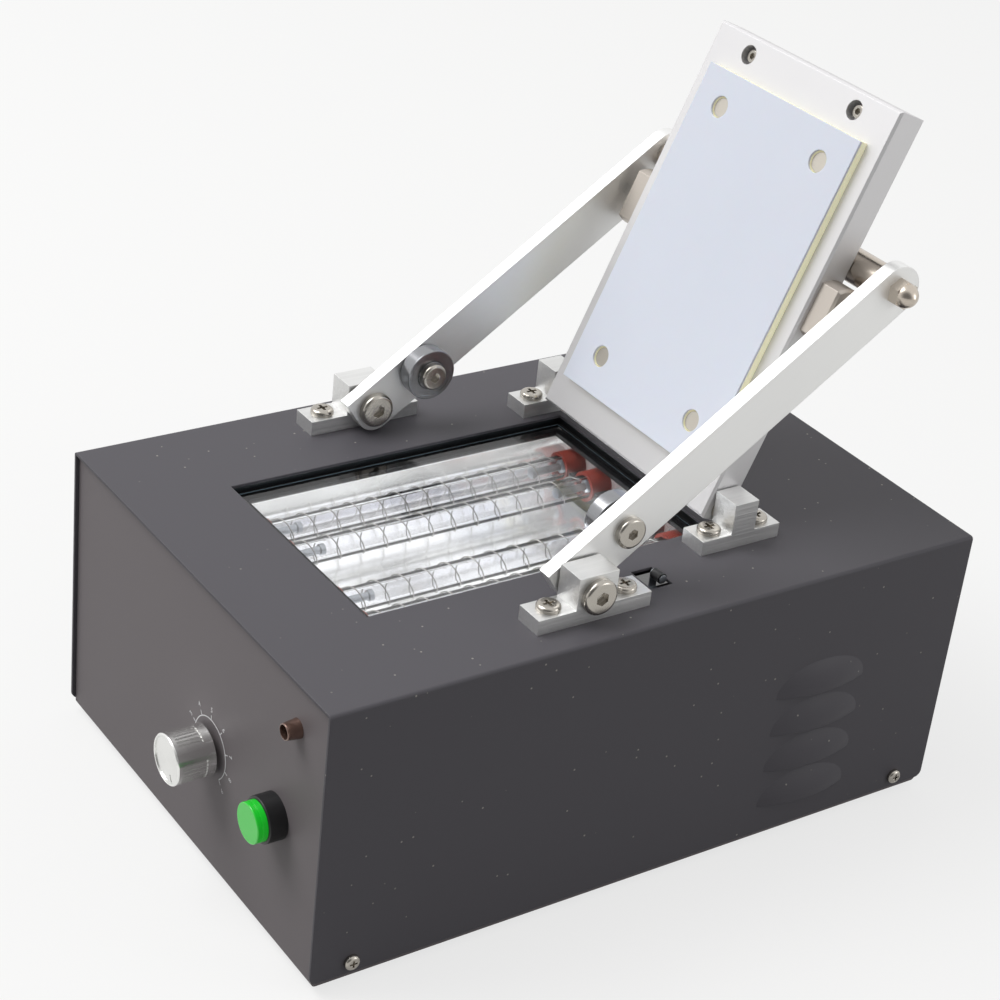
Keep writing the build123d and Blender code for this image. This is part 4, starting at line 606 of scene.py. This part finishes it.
class Shape:
    """Points and faces that grow as parts are added, in metres."""

    def __init__(self) -> None:
        """Starts empty."""
        self.points: list[Vector] = []
        self.faces: list[tuple[int, ...]] = []

    def add(self, points: Sequence[Vector], faces: Sequence[Sequence[int]]) -> None:
        """Adds points and the faces that number them from 0.

        Args:
            points: the new points.
            faces: the new faces.
        """
        start = len(self.points)
        self.points.extend(points)
        self.faces.extend(tuple(start + i for i in face) for face in faces)

    def lathe(self, profile: Outline, place: Matrix, sides: int) -> None:
        """Turns a closed profile about the place's own Z.

        Args:
            profile: radius and height of each corner, in millimetres; radius 0 closes to a point.
            place: where the axis lies.
            sides: how many steps the turn has.
        """
        points: list[Vector] = []
        rings: list[list[int]] = []
        for radius, height in profile:
            if radius <= 0:
                rings.append([len(points)] * sides)
                points.append(place @ Vector((0, 0, height * MM)))
                continue
            rings.append(list(range(len(points), len(points) + sides)))
            for step in range(sides):
                turn = 2 * math.pi * step / sides
                x, y = radius * MM * math.cos(turn), radius * MM * math.sin(turn)
                points.append(place @ Vector((x, y, height * MM)))
        faces = []
        for low, high in zip(rings, rings[1:] + rings[:1]):
            for step in range(sides):
                after = (step + 1) % sides
                face = []
                for corner in (low[step], low[after], high[after], high[step]):
                    if corner not in face:
                        face.append(corner)
                if len(face) > 2:
                    faces.append(face)
        self.add(points, faces)

    def plate(self, outline: Outline, place: Matrix, thickness: float) -> None:
        """Raises a flat outline.

        Args:
            outline: its corners, in millimetres, in the place's own X and Y.
            place: where the outline lies.
            thickness: how far it stands up along the place's own Z, in millimetres.
        """
        count = len(outline)
        points = [
            place @ Vector((x * MM, y * MM, z * MM)) for z in (0.0, thickness) for x, y in outline
        ]
        faces: list[tuple[int, ...]] = [
            tuple(reversed(range(count))),
            tuple(range(count, 2 * count)),
        ]
        for step in range(count):
            after = (step + 1) % count
            faces.append((step, after, count + after, count + step))
        self.add(points, faces)

    def band(
        self, inner: float, outer: float, start: float, end: float, place: Matrix, thickness: float
    ) -> None:
        """Raises a strip that follows an arc.

        Args:
            inner: its inner radius in millimetres.
            outer: its outer radius in millimetres.
            start: where it starts, in degrees.
            end: where it ends, in degrees.
            place: where the arc's middle lies.
            thickness: how far it stands up, in millimetres.
        """
        steps = int(abs(end - start) / ARC_STEP)
        turns = [math.radians(start + (end - start) * i / steps) for i in range(steps + 1)]
        points = []
        for z in (0.0, thickness):
            for radius in (inner, outer):
                points.extend(
                    place @ Vector((radius * MM * math.cos(t), radius * MM * math.sin(t), z * MM))
                    for t in turns
                )
        row = steps + 1
        faces: list[tuple[int, ...]] = []
        for i in range(steps):
            faces.append((i, i + 1, row + i + 1, row + i))
            faces.append((2 * row + i, 3 * row + i, 3 * row + i + 1, 2 * row + i + 1))
            faces.append((i, 2 * row + i, 2 * row + i + 1, i + 1))
            faces.append((row + i, row + i + 1, 3 * row + i + 1, 3 * row + i))
        for i in (0, steps):
            faces.append((i, row + i, 3 * row + i, 2 * row + i))
        self.add(points, faces)

    def digit(self, text: str, height: float, place: Matrix, thickness: float) -> None:
        """Raises a number in a plain type.

        Args:
            text: the number.
            height: its height in millimetres.
            place: where its middle lies.
            thickness: how far it stands up, in millimetres.
        """
        curve = bpy.data.curves.new("digit", "FONT")
        curve.body = text
        curve.align_x = "CENTER"
        curve.align_y = "CENTER"
        curve.size = height * MM / NUMERAL_SHARE
        curve.resolution_u = NUMERAL_STEPS
        curve.extrude = thickness * MM / 2
        holder = bpy.data.objects.new("digit", curve)
        mesh = bpy.data.meshes.new_from_object(holder)
        lift = Matrix.Translation((0, 0, thickness * MM / 2))
        self.add(
            [place @ lift @ v.co for v in mesh.vertices], [tuple(p.vertices) for p in mesh.polygons]
        )
        bpy.data.meshes.remove(mesh)
        bpy.data.objects.remove(holder)
        bpy.data.curves.remove(curve)


def rectangle(half_width: float, low: float, high: float) -> Outline:
    """The corners of a rectangle that lies evenly about X 0.

    Args:
        half_width: how far it reaches to each side.
        low: where it starts.
        high: where it ends.

    Returns:
        Its four corners.
    """
    return [(-half_width, low), (half_width, low), (half_width, high), (-half_width, high)]


def facing(origin: Sequence[float], right: Sequence[float], up: Sequence[float]) -> Matrix:
    """The matrix of a place whose own X is right and own Y is up.

    Args:
        origin: its origin in millimetres.
        right: its own X.
        up: its own Y.

    Returns:
        The matrix, in metres.
    """
    across = Vector(right).normalized()
    upward = Vector(up).normalized()
    outward = across.cross(upward)
    turn = Matrix((across, upward, outward)).transposed().to_4x4()
    return Matrix.Translation(Vector(origin) * MM) @ turn


def corners_of(node: str) -> tuple[Vector, Vector]:
    """The box of a CAD node at rest, in millimetres.

    Args:
        node: its name.

    Returns:
        The lowest and the highest corner.
    """
    low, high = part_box(node)
    return Vector(low) / MM, Vector(high) / MM


def dress(finish: Finish | Glazing, *nodes: str) -> None:
    """Gives CAD nodes a finish.

    Args:
        finish: what they are made of.
        nodes: their names.
    """
    for name in nodes:
        node = frame["nodes"][name]
        material = finish.material()
        if not node.material_slots:
            node.data.materials.append(material)
        for slot in node.material_slots:
            slot.material = material
        log.info("node %s is %s", name, finish.name)


@dataclass
class Case:
    """The folded steel case with its feet and screws."""

    dial_print: float = 0.05
    scale_radius: float = 12.6
    line_width: float = 0.45
    tick_share: float = 0.8
    tick_length: float = 1.9
    digit_radius: float = 17.0
    digit_height: float = 2.1
    digit_count: int = 9
    first_angle: float = 230.0
    last_angle: float = -50.0

    def build(self) -> None:
        """Dresses the sheet metal and prints the dial's scale on the panel."""
        dress(COVER_COAT, "top_cover")
        dress(PANEL_COAT, "chassis_tray")
        dress(NICKEL, "cover_screws", "foot_screws")
        dress(BLACK_RUBBER, "rubber_feet")
        self.scale()

    def scale(self) -> None:
        """Prints the arc, its marks and its plain numbers round the dial."""
        low, high = corners_of("energy_knob")
        panel = corners_of("chassis_tray")[0].y
        middle = ((low.x + high.x) / 2, panel, (low.z + high.z) / 2)
        place = facing(middle, (1, 0, 0), (0, 0, 1))
        ink = Shape()
        half = self.line_width / 2
        ink.band(
            self.scale_radius - half, self.scale_radius + half, self.last_angle, self.first_angle,
            place, self.dial_print,
        )
        start = self.scale_radius + half
        tick = rectangle(half * self.tick_share, start, start + self.tick_length)
        step = (self.last_angle - self.first_angle) / (self.digit_count - 1)
        for number in range(self.digit_count):
            turn = math.radians(self.first_angle + step * number)
            out = Vector((math.cos(turn), math.sin(turn), 0))
            spin = Matrix.Rotation(turn - math.pi / 2, 4, "Z")
            ink.plate(tick, place @ spin, self.dial_print)
            spot = Matrix.Translation(out * self.digit_radius * MM)
            ink.digit(str(number + 1), self.digit_height, place @ spot @ spin, self.dial_print)
        mesh_piece("dial_scale", ink.points, ink.faces, PRINT, "case", smooth=False)


@dataclass
class FlashUnit:
    """The window with the flash tubes, their caps and wires, and the reflector below it."""

    tube_places: tuple[int, ...] = (-2, -1, 1, 2)
    rod_radius: float = 1.6
    tip_radius: float = 2.3
    tip_length: float = 3.0
    tip_shoulder: float = 0.4
    tip_point: float = 0.6
    seal_radius: float = 3.6
    seal_length: float = 1.5
    seal_shoulder: float = 1.0
    seal_inset: float = 4.0
    reach: float = 18.0
    sides: int = 24
    edge_width: float = 0.4
    edge_lift: float = 0.02
    edge_proud: float = 0.01
    edge_line: float = 0.1

    def build(self) -> None:
        """Dresses the window and puts the electrodes in the tubes."""
        dress(WINDOW_GLASS, "window_glass")
        dress(TUBE_GLASS, "flash_tubes")
        dress(BLACK_ENAMEL, "window_frame")
        dress(BLACK_RUBBER, "window_seal")
        dress(REFLECTOR_METAL, "reflector_tray")
        dress(SILICONE, "tube_caps")
        dress(BLACK_ABS, "tube_holders")
        dress(WIRE_METAL, "trigger_wires")
        self.electrodes()
        self.pane_edge()

    def pane_edge(self) -> None:
        """Lays the ground chamfer round the top of the pane."""
        low, high = corners_of("window_glass")
        centre = (low + high) / 2
        half_x = (high.x - low.x) / 2
        half_y = (high.y - low.y) / 2
        strip = Shape()
        corners = ((-1, -1), (1, -1), (1, 1), (-1, 1))
        count = len(corners)
        rows = (
            (-self.edge_proud, -self.edge_width),
            (self.edge_width, self.edge_lift),
            (self.edge_width + self.edge_line, self.edge_lift),
        )
        points = []
        for inset, height in rows:
            for x_way, y_way in corners:
                x = (centre.x + x_way * (half_x - inset)) * MM
                y = (centre.y + y_way * (half_y - inset)) * MM
                points.append(Vector((x, y, (high.z + height) * MM)))
        faces = []
        for row in range(len(rows) - 1):
            start, above = row * count, (row + 1) * count
            for side in range(count):
                after = (side + 1) % count
                faces.append((start + side, start + after, above + after, above + side))
        strip.add(points, faces)
        mesh_piece("glass_edge", strip.points, strip.faces, GLASS_EDGE, "case", smooth=False)

    def electrodes(self) -> None:
        """Turns a metal electrode for each end of each tube."""
        low, high = corners_of("flash_tubes")
        metal = Shape()
        height = (low.z + high.z) / 2
        radius = (high.z - low.z) / 2
        pitch = (high.x - low.x - 2 * radius) / (self.tube_places[-1] - self.tube_places[0])
        tip_start = self.reach - self.tip_length
        profile = [
            (0, 0),
            (self.seal_radius, 0),
            (self.seal_radius, self.seal_length),
            (self.rod_radius, self.seal_length + self.seal_shoulder),
            (self.rod_radius, tip_start),
            (self.tip_radius, tip_start + self.tip_shoulder),
            (self.tip_radius, self.reach - self.tip_point),
            (0, self.reach),
        ]
        for across in self.tube_places:
            for end, way in ((low.y, 1), (high.y, -1)):
                spot = (across * pitch, end + way * self.seal_inset, height)
                metal.lathe(profile, facing(spot, (0, 0, way), (1, 0, 0)), self.sides)
        mesh_piece("tube_electrodes", metal.points, metal.faces, SHEET_STEEL, "case")


@dataclass
class Controls:
    """The dial, the flash button and the lamp on the front panel."""

    rim_outer: float = 10.2
    rim_inner: float = 9.55
    rim_stand: float = 0.12
    rim_seat: float = 0.3
    rim_slope: float = 0.15
    rim_drop: float = 0.22
    rim_undercut: float = 0.1
    sides: int = 96

    def build(self) -> None:
        """Dresses the controls and sets the bright rim on the dial."""
        low, high = corners_of("energy_knob")
        axis = ((low.x + high.x) / 2, 0.0, (low.z + high.z) / 2)
        dress(replace(DIAL_METAL, centre=axis), "energy_knob")
        dress(NICKEL, "knob_shaft", "panel_nuts")
        dress(SHEET_STEEL, "potentiometer")
        dress(BLACK_ABS, "button_housing")
        dress(GREEN_PC, "flash_button")
        dress(BRONZE_PC, "lamp_bezel")
        dress(LAMP_EPOXY, "lamp_led")
        self.rim()

    def rim(self) -> None:
        """Turns the diamond-cut ring round the dial's face."""
        low, high = corners_of("energy_knob")
        place = facing(((low.x + high.x) / 2, low.y, (low.z + high.z) / 2), (1, 0, 0), (0, 0, 1))
        ring = Shape()
        profile = [
            (self.rim_inner, -self.rim_seat),
            (self.rim_inner, 0.0),
            ((self.rim_outer + self.rim_inner) / 2, self.rim_stand),
            (self.rim_outer - self.rim_slope, 0.0),
            (self.rim_outer, -self.rim_drop),
            (self.rim_outer - self.rim_undercut, -self.rim_seat),
        ]
        ring.lathe(profile, place, self.sides)
        mesh_piece("dial_rim", ring.points, ring.faces, RIM_METAL, "dial")


@dataclass
class RearPanel:
    """The mains inlet, the power switch and the fuse holder."""

    blade_wide: float = 4.1
    blade_thick: float = 2.1
    blade_length: float = 11.1
    blade_spacing: float = 14.0
    blade_offset: float = 2.0
    blade_tip: float = 0.5
    tip_thick_share: float = 0.7
    tip_wide_share: float = 0.85
    cavity_depth: float = 17.5
    tilt: float = 10.0
    valley: float = 3.0
    mark_along: float = 4.4
    bar_half_width: float = 0.35
    bar_half_height: float = 2.0
    ring_inner: float = 1.5
    ring_outer: float = 2.1
    ink: float = 0.05

    def build(self) -> None:
        """Dresses the rear panel's pieces and adds the blades and the switch's two marks."""
        dress(BLACK_ABS, "mains_inlet", "power_switch_frame", "power_rocker", "fuse_holder")
        self.blades()
        self.marks()

    def blades(self) -> None:
        """Sleeves the inlet's three pins in brass."""
        low, high = corners_of("mains_inlet")
        middle = (low + high) / 2
        floor = high.y - self.cavity_depth
        brass = Shape()
        outline = rectangle(self.blade_thick / 2, -self.blade_wide / 2, self.blade_wide / 2)
        tip_outline = [(x * self.tip_thick_share, y * self.tip_wide_share) for x, y in outline]
        straight = self.blade_length - self.blade_tip
        for across, up in ((-1, -1), (0, 1), (1, -1)):
            x = middle.x + across * self.blade_spacing / 2
            z = middle.z + up * self.blade_offset
            place = facing((x, floor, z), (-1, 0, 0), (0, 0, 1))
            brass.plate(outline, place, straight)
            end = place @ Matrix.Translation((0, 0, straight * MM))
            brass.plate(tip_outline, end, self.blade_tip)
        mesh_piece("inlet_blades", brass.points, brass.faces, BRASS, "case", smooth=False)

    def marks(self) -> None:
        """Prints a bar and a ring on the two halves of the power rocker."""
        joint = next(j for j in frame["joints"] if j["name"] == "power_tilt")
        centre = Vector(joint["pos_m"]) / MM
        white = Shape()
        lean = math.radians(self.tilt)
        start = Vector((-math.sin(lean), math.cos(lean), 0))
        bar = rectangle(self.bar_half_width, -self.bar_half_height, self.bar_half_height)
        for side in (-1, 1):
            slope = math.radians(self.tilt + side * self.tilt)
            along = Vector((math.cos(slope), math.sin(slope), 0)) * side
            spot = centre + start * self.valley + along * self.mark_along
            place = facing(spot, -along * side, (0, 0, 1))
            if side > 0:
                white.plate(bar, place, self.ink)
            else:
                white.band(self.ring_inner, self.ring_outer, 0, 360, place, self.ink)
        mesh_piece("rocker_marks", white.points, white.faces, PRINT, "power_rocker", smooth=False)


@dataclass
class Levers:
    """The brackets on the cover, the lever arms, and the ball bearings that they carry."""

    def build(self) -> None:
        """Dresses the brackets, the arms and their hardware."""
        dress(
            BRACKET_ANODISE,
            "front_bracket_left", "front_bracket_right", "rear_bracket_left", "rear_bracket_right",
        )
        dress(ARM_ANODISE, "lever_arm_left", "lever_arm_right")
        dress(GROUND_STEEL, "cross_rod", "acorn_nuts")
        dress(
            NICKEL,
            "bracket_screws", "pivot_bolts", "pivot_end_screws", "spacer_washers", "roller_axles",
            "roller_end_screws",
        )
        dress(
            BEARING_STEEL,
            "roller_ring_left", "roller_ring_right", "bearing_inner_rings", "bearing_balls",
        )


@dataclass
class PressPlate:
    """The hinged plate with its pad, its press blocks and its lift grip."""

    round_over: float = 0.35
    round_steps: int = 3
    round_angle: float = 40.0
    flat_angle: float = 1.0
    weld: float = 0.01

    def build(self) -> None:
        """Dresses the plate and lays the pad on it."""
        dress(PLATE_ANODISE, "press_plate")
        dress(BLOCK_ANODISE, "press_blocks")
        dress(NICKEL, "plate_screws", "hinge_pins")
        dress(DISC_METAL, "pad_discs")
        dress(BLACK_ABS, "lift_grip")
        foam = self.layer("pad_foam", "foam_pad", FOAM)
        self.layer("pad_film", "pad_sheet", FILM)

    def layer(self, name: str, node: str, finish: Finish) -> bpy.types.Object:
        """Cuts one layer of the pad, with its four holes and softly rounded edges.

        Args:
            name: the piece's name.
            node: the CAD node that it stands for.
            finish: what it is made of.

        Returns:
            The layer.
        """
        shape = bmesh.new()
        shape.from_mesh(frame["nodes"][node].data)
        bmesh.ops.remove_doubles(shape, verts=shape.verts, dist=self.weld * MM)
        bmesh.ops.dissolve_limit(
            shape, angle_limit=math.radians(self.flat_angle), verts=shape.verts, edges=shape.edges
        )
        mesh = bpy.data.meshes.new(name)
        shape.to_mesh(mesh)
        shape.free()
        points = [vertex.co for vertex in mesh.vertices]
        faces = [polygon.vertices for polygon in mesh.polygons]
        piece = mesh_piece(name, points, faces, finish, "press")
        bpy.data.meshes.remove(mesh)
        bevel = piece.modifiers.new("rounded edges", "BEVEL")
        bevel.width = self.round_over * MM
        bevel.segments = self.round_steps
        bevel.limit_method = "ANGLE"
        bevel.angle_limit = math.radians(self.round_angle)
        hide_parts(node)
        return piece


@dataclass
class SafetySwitch:
    """The lever switch that feels the right lever arm through the slot."""

    def build(self) -> None:
        """Dresses the switch."""
        dress(BLACK_ABS, "switch_body", "switch_roller")
        dress(SHEET_STEEL, "switch_bracket", "switch_lever")


@dataclass
class Electronics:
    """The board, the storage capacitors and the trigger transformer on the tray."""

    def build(self) -> None:
        """Dresses what stands inside the case."""
        dress(BOARD, "main_board")
        dress(SHEET_STEEL, "board_standoffs")
        dress(SLEEVE, "storage_capacitors")
        dress(WINDING, "trigger_transformer")


@dataclass
class Studio:
    """A pale floor, soft lamps and the camera, in millimetres, but the three sizes in metres."""

    camera_place: Point = (674.25, -508.87, 590.88)
    camera_way: Point = (-0.70175, 0.52137, -0.48550)
    camera_roll: float = 6.53
    lens: float = 86.66
    sensor: float = 36.0
    near: float = 10.0
    floor_size: float = 9.0
    world_strength: float = 0.42
    dark_side: Point = (0.72, -0.62, 0.3)
    dark_edge: float = 0.55
    dark_core: float = 0.95
    dark_strength: float = 0.2
    floor_colour: str = "f6f6f4"
    floor_bounce: str = "6c6c6e"
    floor_white: float = 0.97
    floor_share: float = 0.75
    gloss_share: float = 0.3
    key_place: Point = (-900.0, -1100.0, 2100.0)
    key_size: float = 1.7
    key_power: float = 42.0
    rim_place: Point = (1500.0, 1300.0, 700.0)
    rim_size: float = 0.8
    rim_power: float = 5.0
    target: Point = (0.0, 20.0, 120.0)
    glass_walls: int = 32

    def build(self) -> None:
        """Lays the floor, hangs the lamps and sets the camera."""
        self.world()
        self.floor()
        self.lamp("key_softbox", self.key_place, self.key_size, self.key_power)
        self.lamp("rim_softbox", self.rim_place, self.rim_size, self.rim_power)
        self.camera()
        scene = bpy.context.scene
        scene.view_settings.view_transform = "Standard"
        # Light crosses up to twenty walls of glass on its way through the pane and the tubes.
        if hasattr(scene, "cycles"):
            scene.cycles.transparent_max_bounces = self.glass_walls

    def world(self) -> None:
        """Lights the scene evenly, white to the eye and in glass, with a dark side in gloss."""
        world = bpy.data.worlds.new("studio_sky")
        bpy.context.scene.world = world
        world.use_nodes = True
        tree = world.node_tree
        tree.nodes.clear()
        path = add_node(tree, "ShaderNodeLightPath")
        place = add_node(tree, "ShaderNodeTexCoord")
        toward = add_node(
            tree, "ShaderNodeVectorMath", settings={"operation": "DOT_PRODUCT"},
            values={1: Vector(self.dark_side).normalized()},
            links={0: place.outputs["Generated"]},
        )
        room = add_node(
            tree, "ShaderNodeMapRange", settings={"interpolation_type": "SMOOTHSTEP"},
            values={
                "From Min": self.dark_edge,
                "From Max": self.dark_core,
                "To Min": 1.0,
                "To Max": self.dark_strength,
            },
            links={"Value": toward.outputs["Value"]},
        )
        gloss = add_node(
            tree, "ShaderNodeMix", values={"A": 1.0},
            links={"Factor": path.outputs["Is Glossy Ray"], "B": room.outputs["Result"]},
        )
        strength = add_node(
            tree, "ShaderNodeMix", values={"A": self.world_strength},
            links={"Factor": self.seen(tree), "B": gloss.outputs["Result"]},
        )
        sky = add_node(
            tree, "ShaderNodeBackground", values={"Color": (1, 1, 1, 1)},
            links={"Strength": strength.outputs["Result"]},
        )
        add_node(tree, "ShaderNodeOutputWorld", links={"Surface": sky.outputs["Background"]})

    def seen(self, tree: Tree) -> Socket:
        """Adds the switch between what the eye, gloss and glass see and what lights the object.

        Args:
            tree: the node tree of the world or the floor.

        Returns:
            The socket that is 1 for camera, glossy and transmitted rays.
        """
        path = add_node(tree, "ShaderNodeLightPath")
        seen = path.outputs["Is Camera Ray"]
        for kind in ("Is Glossy Ray", "Is Transmission Ray"):
            either = add_node(
                tree, "ShaderNodeMath", settings={"operation": "MAXIMUM"},
                links={0: seen, 1: path.outputs[kind]},
            )
            seen = either.outputs["Value"]
        return seen

    def floor(self) -> None:
        """Lays a pale floor that shows white and keeps the object's shadow."""
        half = self.floor_size / 2
        mesh = bpy.data.meshes.new("studio_floor")
        corners = [(-half, -half, 0), (half, -half, 0), (half, half, 0), (-half, half, 0)]
        mesh.from_pydata(corners, [], [(0, 1, 2, 3)])
        floor = bpy.data.objects.new("studio_floor", mesh)
        bpy.context.scene.collection.objects.link(floor)
        material = blank_material("studio_paper")
        tree = material.node_tree
        seen = self.seen(tree)
        colour = add_node(
            tree, "ShaderNodeMix", settings={"data_type": "RGBA"},
            values={
                FIRST_COLOUR: linear(self.floor_bounce),
                SECOND_COLOUR: linear(self.floor_colour),
            },
            links={"Factor": seen},
        )
        paper = add_node(
            tree, "ShaderNodeBsdfDiffuse", links={"Color": colour.outputs[MIXED_COLOUR]}
        )
        white = add_node(
            tree, "ShaderNodeEmission",
            values={"Color": (1, 1, 1, 1), "Strength": self.floor_white},
        )
        path = add_node(tree, "ShaderNodeLightPath")
        white_part = add_node(
            tree, "ShaderNodeMix", values={"A": self.floor_share, "B": self.gloss_share},
            links={"Factor": path.outputs["Is Glossy Ray"]},
        )
        share = add_node(
            tree, "ShaderNodeMath", settings={"operation": "MULTIPLY"},
            links={0: seen, 1: white_part.outputs["Result"]},
        )
        backdrop = add_node(
            tree, "ShaderNodeMixShader",
            links={
                "Fac": share.outputs["Value"],
                1: paper.outputs["BSDF"],
                2: white.outputs["Emission"],
            },
        )
        add_node(tree, "ShaderNodeOutputMaterial", links={"Surface": backdrop.outputs["Shader"]})
        mesh.materials.append(material)

    def lamp(self, name: str, place: Point, size: float, power: float) -> None:
        """Hangs a square softbox that faces the object.

        Args:
            name: the lamp's name.
            place: where it hangs, in millimetres.
            size: its side in metres.
            power: its power in watts.
        """
        light = bpy.data.lights.new(name, "AREA")
        light.energy = power
        light.size = size
        holder = bpy.data.objects.new(name, light)
        bpy.context.scene.collection.objects.link(holder)
        origin = Vector(place) * MM
        holder.location = origin
        toward = Vector(self.target) * MM - origin
        holder.rotation_euler = toward.to_track_quat("-Z", "Y").to_euler()

    def camera(self) -> None:
        """Sets the camera where the photograph was taken from."""
        data = bpy.data.cameras.new("photograph_camera")
        data.lens = self.lens
        data.sensor_width = self.sensor
        data.clip_start = self.near * MM
        holder = bpy.data.objects.new("photograph_camera", data)
        bpy.context.scene.collection.objects.link(holder)
        forward = Vector(self.camera_way).normalized()
        level = forward.cross(Vector((0, 0, 1))).normalized()
        upright = level.cross(forward)
        roll = math.radians(self.camera_roll)
        right = level * math.cos(roll) + upright * math.sin(roll)
        up = right.cross(forward)
        turn = Matrix((right, up, -forward)).transposed().to_4x4()
        holder.matrix_world = Matrix.Translation(Vector(self.camera_place) * MM) @ turn
        bpy.context.scene.camera = holder


def main() -> None:
    """Builds the studio and the sub-assemblies in order."""
    Studio().build()
    for part in (
        Case(), FlashUnit(), Controls(), RearPanel(), Levers(), PressPlate(), SafetySwitch(),
        Electronics(),
    ):
        part.build()
        log.info("%s is dressed", type(part).__name__)


if __name__ == "__main__":
    logging.basicConfig(level=logging.INFO, format="%(name)s: %(message)s")
    main()
